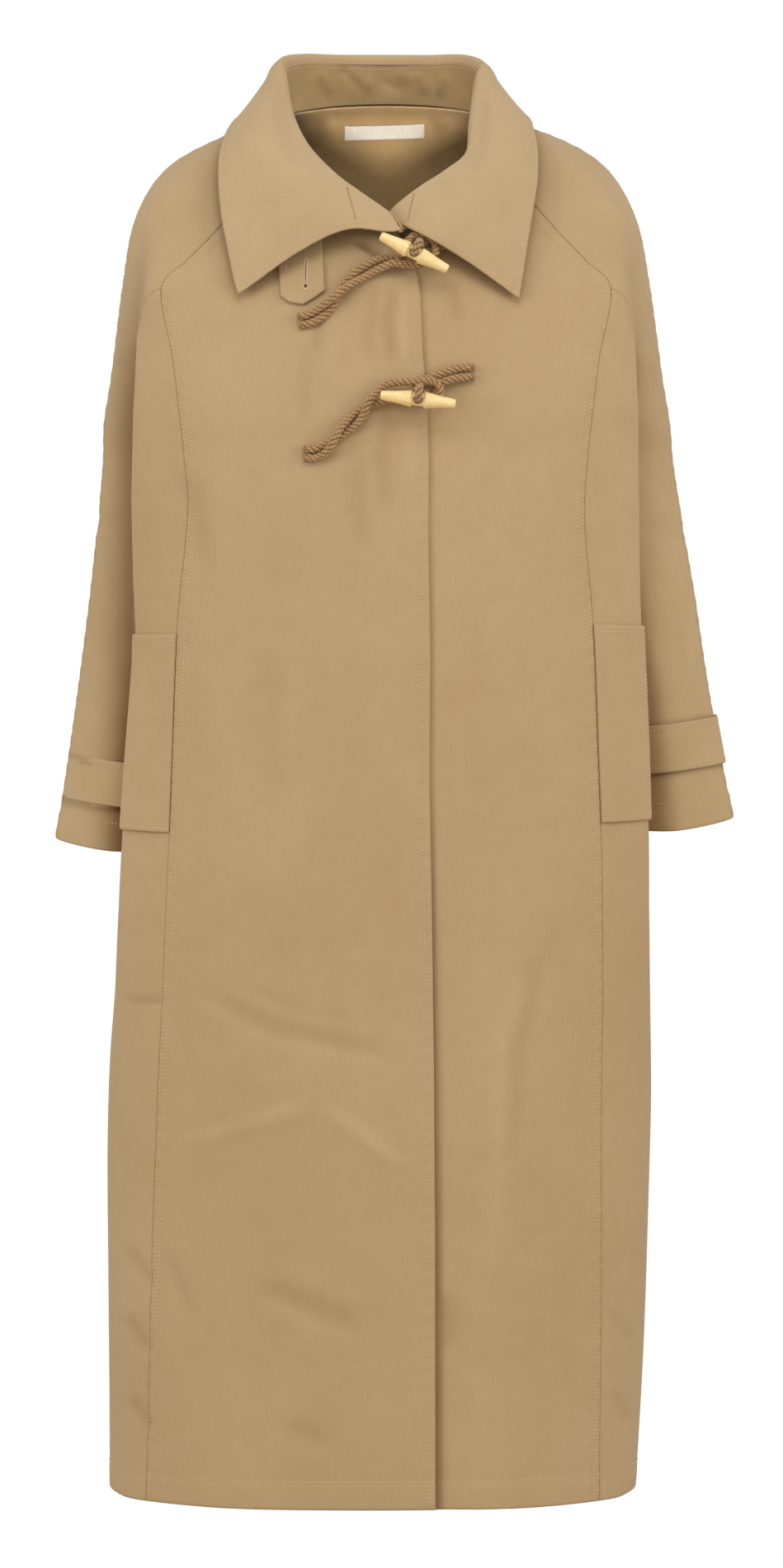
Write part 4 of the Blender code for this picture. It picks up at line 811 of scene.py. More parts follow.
# Fronts: the wearer's right laps over the left
rows = evenRows(frontBody, 1.0, 0, hemAt, 3.5)
lap = stationForX(coat["lapEdge"], rows, 0.3)
underEdge = stationForX(coat["underEdge"], rows, -0.3)[:, None]
grid = gridOn(frontBody, -2 + (lap[:, None] + 2) * spaced(200, 3.5), rows[:, None])
pieces["frontRight"] = clothPiece("frontRightCloth", "front_right", grid, 1.0, "front",
                                  {"left": "double", "right": "edge", "bottom": "hem"}, coatCloth, inner=innerCloth,
                                  shade=paintedCollarShadow)
grid = gridOn(frontBody, underEdge + (2 - underEdge) * spaced(190, 3.5, (False, True)), rows[:, None])
ease = softStep(np.clip((grid[:, :, 0] - frontBody(lap, rows)[:, None, 0] - 6.0) / 34.0, 0, 1))
depth = np.interp(grid[:, :, 2], *np.array(coat["underlap"][::-1], float).T)
grid -= normalsOf(grid) * (depth * (1 - ease))[..., None]
pieces["frontLeft"] = clothPiece("frontLeftCloth", "front_left", grid, 1.0, "front",
                                 {"right": "double", "bottom": "hem"}, coatCloth, inner=innerCloth, shade=underLap)
print("fronts laid")

# Side panels: they start at the raglan seam and end at the side seam
downs = evenRows(frontBody, 3.0, 4.5, hemAt, 4.2)[:, None]
downs = 4 + (downs - 4.5) / (hemAt - 4.5) * (hemAt - 4)
over = spaced(95, 4.2)
rows = downs * (1 - over) + np.interp(downs, [4, 5.5, hemAt], [5, underAt, hemAt]) * over
for side, sign in sides.items():
    grid = gridOn(frontBody, (2 + 2 * over) * sign, rows)
    pieces["side" + side] = clothPiece(f"side{side}Cloth", "side_" + side.lower(), grid, sign, "front",
                                       {"left": "plain", "right": "plain", "top": "double", "bottom": "hem"},
                                       coatCloth, inner=innerCloth, pull=pulledIn)

# Back, one piece
grid = gridOn(backBody, 8 + 6 * spaced(470, 5.6), evenRows(backBody, 10.0, 0, hemAt, 5.6)[:, None])
pieces["back"] = clothPiece("backCloth", "back", grid, 1.0, "back",
                            {"left": "plain", "right": "plain", "bottom": "hem"}, coatCloth, inner=innerCloth,
                            pinned="top")

# Sleeves: front and back half, from the raglan seam to the overarm seam
for side, sign in sides.items():
    tube = lambda station, row: sleeveAll(station, row, sign)
    rows = evenRows(tube, 5.4, 0, cuffAt, 4.2)[:, None]
    start, end, share = np.interp(rows, [0, 4, 5, cuffAt], [2, 2, 4, 4]), coat["overarmStation"], spaced(125, 4.2)
    for half, stations, seam in (("Front", start + (end - start) * share, "plain"),
                                 ("Back", end + (8 - end) * share, "double")):
        name = f"sleeve{half}{side}"
        pieces[name] = clothPiece(name + "Cloth", f"sleeve_{half}_{side}".lower(), gridOn(tube, stations, rows), sign,
                                  "sleeve" + side, {"left": seam, "right": "plain", "bottom": "hem"}, coatCloth,
                                  inner=innerCloth, shade=onSleeve(side))
print("sides, back and sleeves laid")

# Collar: the fall turns over at the fold and meets the stand inside
net = collar["net"]
along0 = np.arange(len(net))
foldTop, firstOut, secondOut, edge = (np.array([row[k] for row in net], float) for k in (1, 2, 3, 4))
flatten, up = np.array([1.0, 1.0, 0.0]), np.array([0.0, 0.0, 1.0])
toAxis = unit((np.array([0.0, 5.0, 0.0]) - foldTop) * flatten)
inward = unit(toAxis + unit((foldTop - firstOut) * flatten))
leg = np.interp(along0, (0, 1, 4, 16, 19, 20), (0.2, 0.3, 1, 1, 0.3, 0.2))[:, None]
narrow = 0.6 + 0.4 * leg
seamIn = foldTop + inward * collar["foldIn"] * narrow - up * collar["foldDown"] * leg
foldIn = foldTop + inward * 3.4 * narrow - up * 1.8 * leg
foldOut = foldTop - inward * 2.6 + (firstOut - foldTop) * 0.08 - up * 1.2


def netSurface(columns, knots):  # a smooth surface through columns of points, one point for each station
    def surface(down, along):
        mixed = np.tensordot(hermiteWeights(along0, along), np.stack(columns, 1), axes=(1, 0))
        return np.einsum("ms,msk->mk", hermiteWeights(knots, down), mixed)
    return surface


fall = netSurface([seamIn, foldIn, foldTop, foldOut, firstOut, secondOut, edge], [0, 8.5, 12.5, 16.5, 40, 68, 98])
known = np.linspace(0, 20, 400)
lengths = lengthsAlong(fall(np.full(400, 60.0), known))
alongs = np.interp(spaced(620, 3.2), lengths / lengths[-1], known)[:, None]
downs = np.concatenate([np.linspace(0, 18, 13), 18 + 80 * spaced(80, 3.2, (False, True))[1:]])
pieces["collarFall"] = clothPiece("collarFallCloth", "collar_fall", gridOn(fall, downs, alongs), 1.0, "collar",
                                  {"right": "edge", "top": "edge", "bottom": "edge"}, collarCloth,
                                  thickness=collar["thickness"])


def neckPoint(station):
    size = np.array([abs(station)])
    side = -1.0 if station < 0 else 1.0
    if size[0] <= 4:
        return frontBody(size * side, np.zeros(1))[0]
    if size[0] <= 8:
        return sleeveTube(size, np.zeros(1), side)[0]
    return backBody(22 - size if side < 0 else size, np.zeros(1))[0]


neck = np.array([neckPoint(row[0]) for row in net])
neck[-4:] -= unit(neck[-4:] * flatten) * coat["underlapDepth"]
topEdge = seamIn - unit(seamIn - foldIn) * 1.4 - inward * 1.2
lowEdge = neck + unit(topEdge - neck) * 0.2 + inward * 1.6
stand = netSurface([lowEdge, (lowEdge + topEdge) / 2 - inward * 0.6, topEdge], [0, 1, 2])
pieces["collarStand"] = clothPiece("collarStandCloth", "collar_stand", gridOn(stand, 2 * spaced(32, 3.0), alongs),
                                   -1.0, "stand", {"left": "plain"}, innerCloth,
                                   thickness=1.6, pinned="left")
print("collar turned over")


# What is sewn on the panels, made from the panel's own points moved out
def rowsAt(surface, stations, coarse, heights):  # rows where the surface is that high, found at coarse stations
    rows = np.linspace(0, hemAt, 400)
    found = [np.interp(-height, -surface(np.full(400, station), rows)[:, 2], rows)
             for station, height in zip(coarse, heights)]
    return np.interp(stations, coarse, found)


def gridAt(surface, stationRange, rowRange, spots):  # a grid on the surface, at a grid of x and z
    stations, rows = nearestOn(surface, stationRange, rowRange, spots.reshape(-1, 2))
    return surface(stations, rows).reshape(*spots.shape[:2], 3)


def sewnOn(name, solid, grid, turn, zone, lift, edges, sewnIn=0.0):  # it drops to the cloth at its edges
    distance = fromEdges(grid)
    near = np.minimum.reduce([distance[side] for side in edges])
    lift = lift - sewnIn * np.interp(distance["left"], [0, 3, 9], [1.0, 0.8, 0.0])
    lift = lift + np.interp(near, [0, 0.8, 2.0, 4.0, 5.6, 7.2, 11], [-0.5, 0.0, 0.15, 0.1, -0.25, 0.0, 0.05])
    return clothPiece(name, solid, grid, turn, zone, {}, coatCloth, lift=lift,
                      pull=pulledIn)


welt = {"lift": 2.5, "first": 2.004, "last": 2.98, "inset": 6.2, "sewnIn": 0.9,
        "Left": ((-425, -425), (-587, -584)), "Right": ((-433, -432), (-595, -592))}
for side, sign in sides.items():
    panel = lambda station, row: frontBody(sign * station, row)
    s = welt["first"] + (welt["last"] - welt["first"]) * spaced(46, 3.4)
    coarse = np.linspace(welt["first"], welt["last"], 5)
    top, foot = (rowsAt(panel, s, coarse, np.interp((coarse - 2.03) / 0.95, (0, 1), ends)) for ends in welt[side])
    grid = gridOn(panel, s, top + (foot - top) * spaced(160, 3.6)[:, None])
    pieces["welt" + side] = sewnOn(f"pocketWelt{side}", "pocket_welt_" + side.lower(), grid, sign, "front",
                                   welt["lift"], ("right", "top", "bottom"), welt["sewnIn"])

# Throat tab under the collar, with a keyhole buttonhole. x, z of the top end and of the foot
tab = {"lift": 3.2, "top": [(-86, -118), (-77, -113), (-68, -106), (-59, -101), (-50, -96)],
       "foot": [(-83, -158), (-76, -163.5), (-64.5, -166), (-54, -160), (-46.5, -154.5)]}
top, foot = (between(spaced(36, 2.6), np.linspace(0, 1, 5), tab[key]) for key in ("top", "foot"))
grid = gridAt(frontBody, (-2.9, 2.9), (0, hemAt), top + (foot - top) * spaced(56, 2.6)[:, None, None])
pieces["tab"] = sewnOn("throatTab", "throat_tab", grid, 1.0, "front", tab["lift"], ("left", "right", "bottom"))

# Cuff straps and their buttons: a button's profile as radius and height, and the thread in its four holes
button = {"profile": [(0.01, 0.0), (8.2, 0.0), (9.3, 0.35), (9.8, 1.1), (9.75, 2.0), (9.3, 2.7), (8.5, 3.0),
                      (7.6, 2.75), (6.8, 2.25), (5.8, 2.1), (0.01, 2.05)],
          "holes": 2.1, "holeRadius": 1.0, "threadHeight": 2.15, "threadDepth": 0.9, "off": 2.0}


def liftedEnd(stations, end):
    near = np.clip((stations - (end - 1.3)) / 1.3, 0, 1)
    return 0.9 + 2.6 * near * near


def turnedShape(profile, steps, weld):  # a shape turned about z from radii and heights in mm
    build = bmesh.new()
    verts = [build.verts.new((r, 0, z)) for r, z in profile]
    edges = [build.edges.new(pair) for pair in zip(verts, verts[1:])]
    bmesh.ops.spin(build, geom=verts + edges, cent=(0, 0, 0), axis=(0, 0, 1), angle=math.tau, steps=steps,
                   use_merge=True)
    bmesh.ops.remove_doubles(build, verts=build.verts[:], dist=weld)
    return build


def facingWay(way):  # turns z to that way
    return Vector(way).to_track_quat("Z", "Y").to_matrix().to_4x4()


for side, sign in sides.items():
    tops, feet, end, buttonAt = strap[side]
    tube = lambda station, row: sleeveAll(station, row, sign)
    s = strap["start"] + (end - strap["start"]) * spaced(160, 3.0)
    coarse = np.linspace(strap["start"], end, 9)
    top, foot = (rowsAt(tube, s, coarse, np.interp(coarse, (4, 5, 6, 7), heights)) for heights in (tops, feet))
    down = spaced(40, 3.0)[:, None]
    pointed = 0.16 * (1 - np.abs(2 * down - 1)) * np.clip((s - end + 0.5) / 0.5, 0, 1)
    grid = gridOn(tube, s + pointed, top + (foot - top) * down)
    grid = grid + normalsOf(grid, sign) * liftedEnd(s, end)[:, None]
    pieces["strap" + side] = sewnOn(f"cuffStrap{side}", "cuff_strap_" + side.lower(), grid, sign, "none",
                                    strap["lift"], ("left", "right", "top", "bottom"))
    spot = np.array([buttonAt])
    middle = np.interp(spot, coarse, np.interp(coarse, s, (top + foot) / 2))
    a = tube(spot + 0.02, middle) - tube(spot - 0.02, middle)
    b = tube(spot, middle + 0.02) - tube(spot, middle - 0.02)
    normal = unit(np.cross(b, a)[0]) * sign
    centre = tube(spot, middle)[0] + normal * (liftedEnd(spot, end)[0] + button["off"] + coat["seamGap"])
    build = turnedShape(button["profile"], 48, 0.02)
    for k in range(4):  # thread wound through the four holes
        angle = math.pi / 4 + k * math.pi / 2
        at = Vector((math.cos(angle) * button["holes"], math.sin(angle) * button["holes"], button["threadHeight"]))
        bmesh.ops.create_cone(build, cap_ends=True, segments=12, radius1=button["holeRadius"],
                              radius2=button["holeRadius"], depth=button["threadDepth"], matrix=Matrix.Translation(at))
    bmesh.ops.recalc_face_normals(build, faces=build.faces[:])
    bmesh.ops.transform(build, matrix=Matrix.Translation(Vector(centre) / 1000) @ facingWay(normal) @
                        Matrix.Scale(0.001, 4), verts=build.verts[:])
    declare(pieceFrom(build, "cuffButton" + side, buttonLook), "cuff_button_" + side.lower())

# Label, bare, sewn inside the back under the neckline, its ends a little lower than its middle
s, t = spaced(70, 3.5), spaced(11, 2.0)
spots = np.stack(np.meshgrid(-33.5 + 69.5 * s, 12.5 - 11 * t), -1)
spots[:, :, 1] += -0.7 + 1.9 * s
grid = gridAt(backBody, (9.2, 12.8), (0.1, 3), spots)[:, ::-1]
distance = fromEdges(grid)
lift = coat["thickness"] + 1.6 + np.interp(np.minimum(distance["left"], distance["right"]), [0, 2.5], [0, 0.36])
clothPiece("labelTape", "label", grid, -1.0, "none", {}, tapeLook, 0.7, lift)
print("welts, tab, straps, buttons and label sewn on")


# Ropes and toggles
def smoothLine(points, count):  # a smooth line through the points, in even steps, and its length
    knots = lengthsAlong(points)
    fine = hermiteWeights(knots, np.linspace(0, knots[-1], 900)) @ points
    lengths = lengthsAlong(fine)
    return between(np.linspace(0, lengths[-1], count), lengths, fine), lengths[-1]


def strandPair(rows):  # two strands side by side that turn about each other
    x, z, lift, turns, spreads = np.array(rows, float).T
    middle = onFront(x, z, lift)
    along = unit(np.gradient(middle, axis=0))
    level = np.cross((0.0, -1.0, 0.0), along)
    turns = np.radians(turns)[:, None]
    offset = (level * np.cos(turns) + np.cross(along, level) * np.sin(turns)) * spreads[:, None]
    return middle + offset, middle - offset


cord = {"radius": 3.45, "strands": 3, "lay": 13.5, "sides": 12, "step": 0.9, "strandShare": 0.44, "endLength": 2.6,
        # middle of the pair as x, z, height over the cloth, its turn and half the strands' distance
        "loopLower": [(-62, -287.5, 4.0, 0, 3.7), (-53.8, -287.2, 4.2, 0, 3.7), (-45.2, -282.6, 6.2, -45, 3.8),
                      (-38.5, -275.9, 7.9, -90, 3.8), (-31.8, -268.2, 6.4, -135, 3.8), (-24.5, -262, 4.6, -180, 3.8),
                      (-17.1, -254.8, 6.4, -225, 3.8), (-11.1, -247.8, 7.9, -280, 3.8), (-3.7, -242.8, 6.6, -330, 4.6),
                      (4.3, -238.3, 6.6, -345, 6.4), (13.3, -237.2, 8.2, -338, 7.6), (22.3, -237.8, 9.8, -338, 8.4),
                      (31.0, -238.2, 9.9, -338, 9.0)],
        "bightLower": [(38.5, -229.4, 13.0), (45.5, -232.5, 13.2), (46.2, -240.0, 12.4), (39.5, -247.2, 9.2)],
        "loopUpper": [(-66.5, -178.5, 4.4, 0, 3.7), (-60, -177.3, 4.6, 0, 3.7), (-52.7, -173.6, 5.0, 0, 3.7),
                      (-44, -166.6, 6.8, 45, 3.8), (-35.2, -155.9, 8.6, 90, 3.8), (-27.2, -147.1, 7.2, 135, 3.8),
                      (-18.5, -140.4, 5.8, 180, 3.9), (-9.1, -134.6, 6.0, 180, 4.0), (0.3, -131.0, 7.4, 150, 4.0),
                      (9.6, -129.6, 8.8, 120, 4.0), (15.5, -129.4, 9.6, 140, 4.2)],
        "bightUpper": [(18.8, -120.5, 10.0), (21.2, -112.2, 10.6), (28.0, -107.2, 11.4), (35.8, -107.9, 11.8),
                       (42.3, -113.6, 11.2), (43.0, -122.5, 11.8), (35.2, -131.0, 10.6), (27.0, -132.7, 9.2)]}


def twistedCord(name, solid, points):
    length = smoothLine(points, 400)[1]
    line, length = smoothLine(points, max(int(length / cord["step"]), 12))
    across = np.cross(unit(np.gradient(line, axis=0))[0], (0.0, 1.0, 0.0))
    frames = []
    for way in unit(np.gradient(line, axis=0)):
        across = unit(across - way * np.dot(across, way))
        frames.append((across, np.cross(way, across)))
    frames = np.array(frames)
    count, thin = cord["sides"], cord["radius"] * cord["strandShare"]
    at = np.linspace(0, length, len(line))
    around = np.arange(count)[:, None] * math.tau / count
    build = bmesh.new()
    uvs = build.loops.layers.uv.new("yarn")
    shade = build.verts.layers.float.new("shade")
    for k in range(cord["strands"]):
        angle = math.tau * (at / cord["lay"] + k / cord["strands"])[:, None]
        out = frames[:, 0] * np.cos(angle) + frames[:, 1] * np.sin(angle)
        centre = line + out * (cord["radius"] - thin)
        side = np.cross(unit(np.gradient(centre, axis=0)), out)
        spots = centre[:, None] + (out[:, None] * np.cos(around) + side[:, None] * np.sin(around)) * thin
        rings = [[build.verts.new(tuple(spot / 1000)) for spot in spots[0]]]
        edges = [build.edges.new((rings[0][j], rings[0][(j + 1) % count])) for j in range(count)]
        build.faces.new(rings[0])
        for ring in spots[1:]:
            made = bmesh.ops.extrude_edge_only(build, edges=edges)["geom"]
            rings.append([part for part in made if isinstance(part, bmesh.types.BMVert)])
            for vert, spot in zip(rings[-1], ring):
                vert.co = spot / 1000
            edges = [build.edges.get((rings[-1][j], rings[-1][(j + 1) % count])) for j in range(count)]
        build.faces.new(rings[-1])
        for i, ring in enumerate(rings):
            for j, vert in enumerate(ring):  # painted shade in the groove between the strands
                vert[shade] = np.clip(0.62 - math.cos(j * math.tau / count), 0, 0.9)
                vert.index = (k * len(line) + i) * count + j
    cordFaces = build.faces[:]
    bmesh.ops.recalc_face_normals(build, faces=cordFaces)
    for face in cordFaces:
        if len(face.verts) == 4:
            steps = [divmod(loop.vert.index, count) for loop in face.loops]
            wraps = max(j for _, j in steps) - min(j for _, j in steps) > 1
            for loop, (i, j) in zip(face.loops, steps):
                turn = count if wraps and j == 0 else j
                loop[uvs].uv = ((i % len(line)) * cord["step"] / 1000, turn / count * math.tau * thin / 1000)
    size = Matrix.Diagonal((cord["radius"] / 1000, cord["radius"] / 1000, cord["endLength"] / 1000, 1))
    for end, inner in ((0, 2), (-1, -3)):  # the sewn ends are rounded and tacked down
        place = Matrix.Translation(Vector(line[end]) / 1000) @ facingWay(line[inner] - line[end])
        bmesh.ops.create_uvsphere(build, u_segments=14, v_segments=8, radius=1.0, matrix=place @ size)
    piece = pieceFrom(build, name, cordLook)
    declare(piece, solid)
    path = [tuple(p / 1000) for p in line[::2]]
    if (len(line) - 1) % 2:
        path.append(tuple(line[-1] / 1000))
    cutSizes.append((name, round(length), round(cord["radius"] * 2)))


for key in ("Lower", "Upper"):
    one, two = strandPair(cord["loop" + key])
    if one[-1, 2] < two[-1, 2]:
        one, two = two, one
    bend = onFront(*np.array(cord["bight" + key], float).T)
    twistedCord("ropeLoop" + key, "rope_loop_" + key.lower(), np.concatenate([one, bend, two[::-1]]))

toggle = {"Lower": ((28.7, -245.0, 22.0), (60.0, -7.0)), "Upper": ((25.7, -124.2, 24.5), (54.0, -27.0)),
          "half": 30.5, "hole": 4.05, "sharp": 38,  # half its length, the drilled hole's radius
          "profile": [(-1.0, 0.02), (-1.0, 2.6), (-0.993, 3.15), (-0.975, 3.55), (-0.93, 3.85), (-0.6, 4.9),
                      (-0.25, 6.5), (-0.215, 6.75), (-0.19, 6.7), (-0.172, 6.3), (-0.16, 5.6), (-0.145, 5.35),
                      (0.0, 5.3), (0.145, 5.35), (0.16, 5.6), (0.172, 6.3), (0.19, 6.7), (0.215, 6.75), (0.25, 6.5),
                      (0.6, 4.9), (0.93, 3.85), (0.975, 3.55), (0.993, 3.15), (1.0, 2.6), (1.0, 0.02)],
          # x, z, height of the cord's strands from their sewn ends, and the cord about the waist
          "cordsLower": ([(72.5, -217.2, 4.2), (61.8, -218.0, 4.2), (51.1, -221.0, 4.2), (40.0, -225.5, 4.2),
                          (29.2, -230.8, 5.0), (26.4, -236.0, 8.4), (27.6, -236.9, 13.2)],
                         [(72.5, -225.0, 4.2), (61.8, -225.8, 4.2), (51.1, -228.8, 4.2), (41.0, -234.0, 4.2),
                          (34.6, -238.7, 7.6), (33.4, -241.0, 11.6)]),
          "cordsUpper": ([(66.0, -106.5, 4.4), (55.0, -106.5, 4.4), (47.0, -108.8, 4.0), (38.0, -113.0, 3.8),
                          (31.0, -116.4, 8.6), (30.2, -116.2, 15.5)],
                         [(66.0, -114.2, 4.4), (55.0, -114.6, 4.4), (47.0, -116.6, 4.0), (39.0, -120.6, 3.8),
                          (33.0, -124.0, 8.5), (29.0, -124.2, 13.5)]),
          "bend": [(9.4, -4.5), (9.5, 0.0), (9.4, 4.0), (8.8, 6.4), (7.1, 8.1), (4.7, 8.7), (2.3, 8.1), (0.6, 6.4),
                   (0.0, 4.0), (0.0, -3.0), (0.4, -6.5)]}
outward = Vector((0, -1, 0))
for key in ("Lower", "Upper"):
    centre, way = toggle[key]
    middle = onFront(*np.array([centre], float).T)[0]
    axis = Vector((way[0], 0.0, way[1])).normalized()
    rise = outward.cross(axis)
    build = turnedShape([(r, t * toggle["half"]) for t, r in toggle["profile"]], 56, 0.03)
    bmesh.ops.recalc_face_normals(build, faces=build.faces[:])
    place = Matrix.Translation(Vector(middle) / 1000) @ Matrix((rise, outward, axis)).transposed().to_4x4()
    place = place @ Matrix.Scale(0.001, 4)
    bmesh.ops.transform(build, matrix=place, verts=build.verts[:])
    piece = pieceFrom(build, "toggle" + key)
    drill = bmesh.new()
    bmesh.ops.create_cone(drill, cap_ends=True, segments=40, radius1=toggle["hole"], radius2=toggle["hole"], depth=24)
    bmesh.ops.transform(drill, matrix=place @ Matrix.Rotation(math.pi / 2, 4, "X"), verts=drill.verts[:])
    drillPiece = pieceFrom(drill, "drill")
    cut = piece.modifiers.new("hole", "BOOLEAN")
    cut.operation, cut.object, cut.solver = "DIFFERENCE", drillPiece, "EXACT"
    drilled = bpy.data.meshes.new_from_object(piece.evaluated_get(bpy.context.evaluated_depsgraph_get()))
    piece.modifiers.remove(cut)
    piece.data = drilled
    drilled.name = "toggle" + key
    bpy.data.objects.remove(drillPiece, do_unlink=True)
    build = bmesh.new()
    build.from_mesh(drilled)
    bmesh.ops.triangulate(build, faces=[f for f in build.faces if len(f.verts) > 4])
    grain = build.loops.layers.uv.new("grain")
    shade = build.verts.layers.float.new("shade")
    back = place.inverted()
    for vert in build.verts:
        local = back @ vert.co
        # painted shade inside the drilled hole
        inHole = math.hypot(local.x, local.z) < toggle["hole"] + 0.2 and math.hypot(local.x, local.y) < 5.0
        vert[shade] = 0.65 if inHole else 0.0
    for face in build.faces:
        face.smooth = True
        for loop in face.loops:
            local = back @ loop.vert.co
            loop[grain].uv = (local.z / 1000 + 0.1, (local.x * 0.8 + local.y * 0.45) / 1000)
    for joint in build.edges:
        joint.smooth = not (joint.is_manifold and joint.calc_face_angle(0) > math.radians(toggle["sharp"]))
    build.to_mesh(drilled)
    build.free()
    drilled.materials.clear()
    drilled.materials.append(woodLook)
    declare(piece, "toggle_" + key.lower())
    bend = middle + np.array(toggle["bend"]) @ np.array([rise, outward])
    one, two = (onFront(*np.array(strand, float).T) for strand in toggle["cords" + key])
    twistedCord("toggleCord" + key, "toggle_cord_" + key.lower(), np.concatenate([one, bend, two[::-1]]))
print("toggles and ropes hung")


def onPiece(name, spots):  # points and normals of a sewn piece at x and z, on the side toward the viewer
    points, normals = (array.reshape(-1, 3) for array in pieces[name])
    facing = normals[:, 1] < -0.2
    points, normals = points[facing], normals[facing]
    places, turns = [], []
    for x, z in spots:
        away = np.hypot(points[:, 0] - x, points[:, 2] - z)
        near = np.argsort(away)[:6]
        share = (1 / (away[near] + 0.3)**2)[:, None]
        middle, normal = ((array[near] * share).sum(0) / share.sum() for array in (points, normals))
        normal = unit(normal)
        slip = ((x - middle[0]) * normal[0] + (z - middle[2]) * normal[2]) / normal[1]
        places.append((x, middle[1] - slip, z))
        turns.append(normal)
    return np.array(places), np.array(turns)


def sewnLine(group, name, corners, pitch):  # a row of stitches through corners given as x and z
    lengths = lengthsAlong(corners)
    at = np.linspace(0, lengths[-1], max(int(lengths[-1] / 1.5), 2))
    stitched(group, *onPiece(name, between(at, lengths, corners)), pitch)


# Keyhole buttonhole of the tab, whipped with thread, and the slot sewn on the collar's wing
keyhole = {"x": -62.7, "top": -127.0, "bottom": -147.2, "eye": (-62.7, -149.6), "radius": 2.5, "half": 1.25,
           "pitch": 0.85, "slit": (0.42, 10.0), "hole": (1.5, 1.5)}
whip = [(keyhole["x"] + side * keyhole["half"], z, side, 0.0) for side in (-1, 1)
        for z in np.arange(keyhole["top"], keyhole["bottom"], -keyhole["pitch"])]
whip += [(keyhole["eye"][0] + math.sin(a) * keyhole["radius"], keyhole["eye"][1] + math.cos(a) * keyhole["radius"],
          math.sin(a), math.cos(a)) for a in np.arange(0.55, 5.75, 0.3)]
whip += [(keyhole["x"] + step, keyhole["top"] + 0.9, 0.0, 1.0) for step in (-1.2, -0.4, 0.4, 1.2)]
for x, z, dx, dz in whip:
    places, turns = onPiece("tab", [(x, z)])
    stitchSpots.setdefault("tab", []).append((places, np.array([[dx, 0.0, dz]]), turns))
# flat dark ovals in the slit and the eye: painted shade in the buttonhole's cut
slit = bmesh.new()
for (x, z), (wide, tall) in (((keyhole["x"], (keyhole["top"] + keyhole["bottom"]) / 2), keyhole["slit"]),
                             (keyhole["eye"], keyhole["hole"])):
    places, turns = onPiece("tab", [(x, z)])
    place = Matrix.Translation(Vector(places[0]) / 1000) @ facingWay(turns[0])
    bmesh.ops.create_icosphere(slit, subdivisions=3, radius=1.0,
                               matrix=place @ Matrix.Diagonal((wide / 1000, tall / 1000, 0.00012, 1)))
declare(pieceFrom(slit, "buttonholeSlit", slitLook))
slot = [(-97.4, -74.0), (-57.6, -65.6), (-54.9, -69.0), (-95.0, -78.7), (-97.4, -74.0)]
sewnLine("collarFall", "collarFall", slot, 2.4)
# two dark rows where the collar's ends are joined: painted shade of the seam's ditch
sewnLine("collarSeamLeft", "collarFall", [(-29.4, -66.6), (-22.0, -95.5)], 2.0)
sewnLine("collarSeamRight", "collarFall", [(25.8, -71.3), (20.4, -96.9)], 2.0)

# Topstitching: two rows beside the princess and raglan seams, one along each free edge
beside = (1.9, 8.0)
for name, side, insets, cuts in (
        ("frontRight", "left", beside, (0, 3)), ("frontLeft", "right", beside, (0, 3)),
        ("sideLeft", "top", beside, (2, 2)), ("sideRight", "top", beside, (2, 2)),
        ("frontRight", "right", (6.4,), (10, 3)), ("sleeveBackLeft", "left", beside, (0, 3)),
        ("sleeveBackRight", "left", beside, (0, 3)), ("collarFall", "right", (5.2,), (5, 5)),
        ("tab", "left", (6.0,), (0, 8)), ("tab", "right", (6.0,), (0, 8)), ("tab", "bottom", (6.0,), (6, 6))):
    for inset in insets:
        stitched(name, *lineIn(pieces[name], side, inset, *cuts))
for inset in (1.6, 5.0):
    line, normals = lineIn(pieces["collarStand"], "right", inset, 40, 40)
    stitched("collarStand", line - normals * 1.6, -normals)
for inset, names in ((22.7, ("frontRight", "frontLeft", "sideRight", "sideLeft", "back")),
                     (23.5, ("sleeveFrontLeft", "sleeveFrontRight", "sleeveBackLeft", "sleeveBackRight"))):
    for name in names:
        stitched(name, *lineIn(pieces[name], "bottom", inset, 0.5, 0.5))
for name, inset, start in (("weltLeft", welt["inset"], 0.5), ("weltRight", welt["inset"], 0.5),
                           ("strapLeft", strap["edge"], 1), ("strapRight", strap["edge"], 1)):
    for side in ("top", "bottom", "right"):
        stitched(name, *lineIn(pieces[name], side, inset, inset if side == "right" else start, inset))
    # dark sunk rows along each welt's top and bottom: a painted shadow line at its edges
    for side in ("top", "bottom") if "welt" in name else ():
        line, normals = lineIn(pieces[name], side, 0.1, 0.5, 0.5)
        stitched(name + "Seam", line - normals * 0.5, normals, 1.9)
for side in ("top", "bottom"):
    stitched("collarFall", *lineIn(pieces["collarFall"], side, 5.2, 20, 5.2))
sewRows()
print("topstitched")

# Camera where the photograph was taken from, a soft pale studio
studio = {"distance": 4.2, "middle": (0.0073, -0.5552), "frameHeight": 1900 * 0.694e-3, "sensor": 36}
camera = bpy.data.objects.new("camera", bpy.data.cameras.new("camera"))
camera.location = (studio["middle"][0], -studio["distance"], studio["middle"][1])
camera.rotation_euler = (math.pi / 2, 0, 0)
camera.data.sensor_fit, camera.data.sensor_width = "AUTO", studio["sensor"]
camera.data.lens = studio["sensor"] * studio["distance"] / studio["frameHeight"]
bpy.context.scene.collection.objects.link(camera)
bpy.context.scene.camera = camera


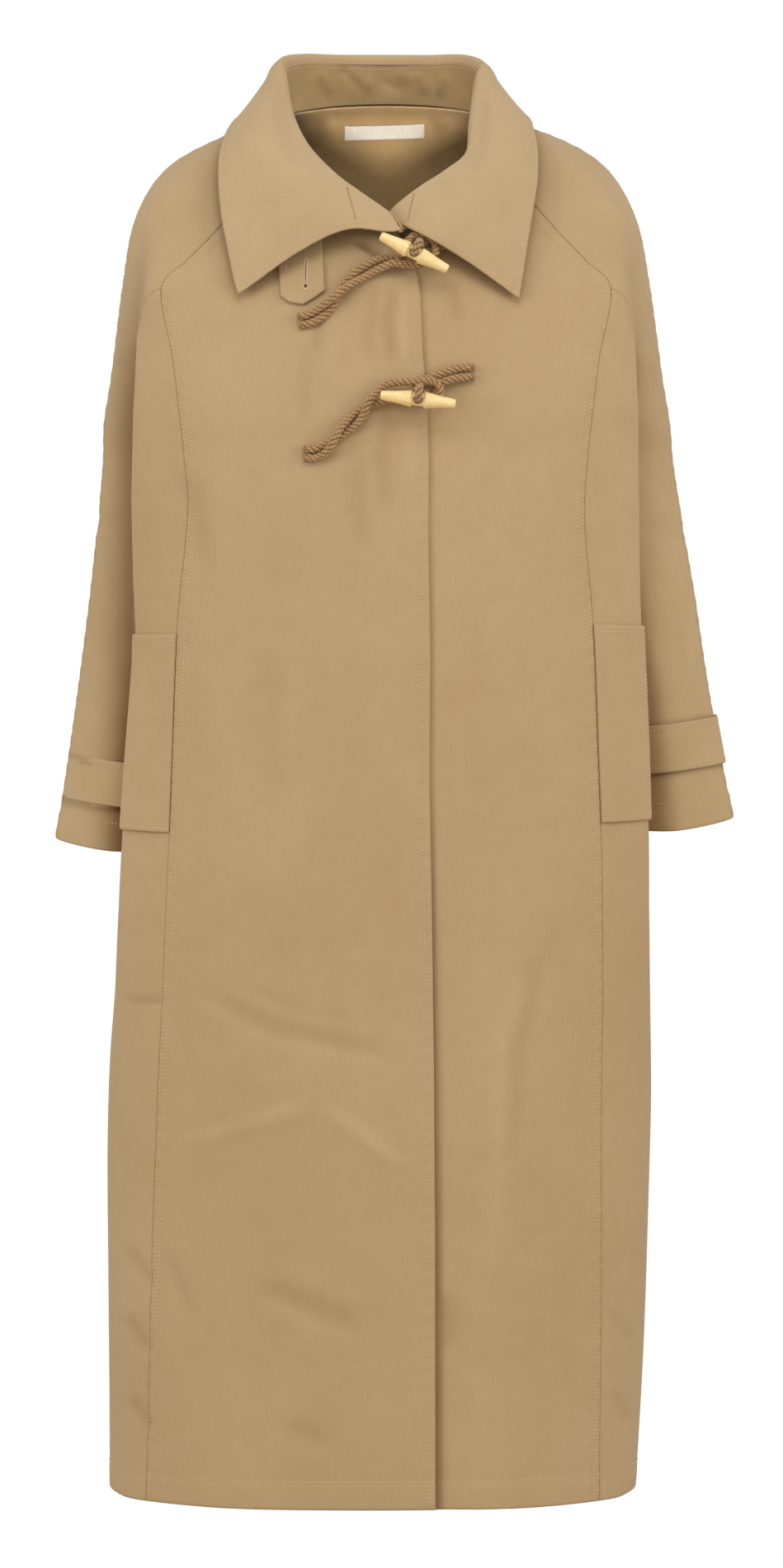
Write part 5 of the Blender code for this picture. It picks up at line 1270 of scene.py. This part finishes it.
def aimedLight(name, kind, place, target, power, colour, **shape):
    lamp = bpy.data.lights.new(name, kind)
    lamp.energy, lamp.color = power, colour
    for key, value in shape.items():
        setattr(lamp, key, value)
    holder = bpy.data.objects.new(name, lamp)
    holder.location = place
    holder.rotation_euler = (Vector(target) - Vector(place)).to_track_quat("-Z", "Y").to_euler()
    bpy.context.scene.collection.objects.link(holder)
    return holder


for name, place, target, size, power in (
        ("rightSoftbox", (3.5, -2.3, 0.5), (0, 0, -0.5), (1.8, 2.4), 46),
        ("leftSoftbox", (-3.5, -2.3, 0.5), (0, 0, -0.5), (1.8, 2.4), 46),
        ("topSoftbox", (0.2, -2.6, 1.8), (0, 0, -0.3), (1.6, 1.2), 20)):
    aimedLight(name, "AREA", place, target, power, (1.0, 0.995, 0.985), shape="RECTANGLE", size=size[0], size_y=size[1])
# A soft spot through the neck opening, that reaches only the inside of the back and the label
spot = aimedLight("neckSpot", "SPOT", (0.01, -1.6, -0.5), (0.004, 0.1, 0.0), 112, (1.0, 0.955, 0.89), spot_size=0.3,
                  spot_blend=1.0, shadow_soft_size=0.12)
lined = bpy.data.collections.new("neckInside")
for name in ("backCloth", "labelTape"):
    lined.objects.link(bpy.data.objects[name])
spot.light_linking.receiver_collection = lined
world = bpy.data.worlds.new("paleStudio")  # soft surround, with a white backdrop behind the coat
world.use_nodes = True
air = world.node_tree
way = addNode(air, "ShaderNodeTexCoord").outputs["Generated"]
behind = addNode(air, "ShaderNodeSeparateXYZ", {"Vector": way}).outputs["Y"]
behind = addNode(air, "ShaderNodeMapRange", {"Value": behind, "From Min": 0.93, "From Max": 0.965}).outputs[0]
backdrop = mixColour(air, behind, (0.64, 0.64, 0.64, 1), (1, 1, 1, 1))
air.links.new(backdrop, air.nodes["Background"].inputs["Color"])
bpy.context.scene.world = world
build = bmesh.new()
bmesh.ops.create_grid(build, x_segments=1, y_segments=1, size=1.0,
                      matrix=Matrix.Translation((0, -0.6, -1.45)) @ Matrix.Diagonal((2.4, 2.0, 1, 1)))
pieceFrom(build, "floor", newMaterial("paleFloor", 0.7, (0.5, 0.42, 0.32, 1))[0])
bpy.context.scene.view_settings.view_transform = "Standard"

for name, width, length in cutSizes:
    print("cut", name, width, length)
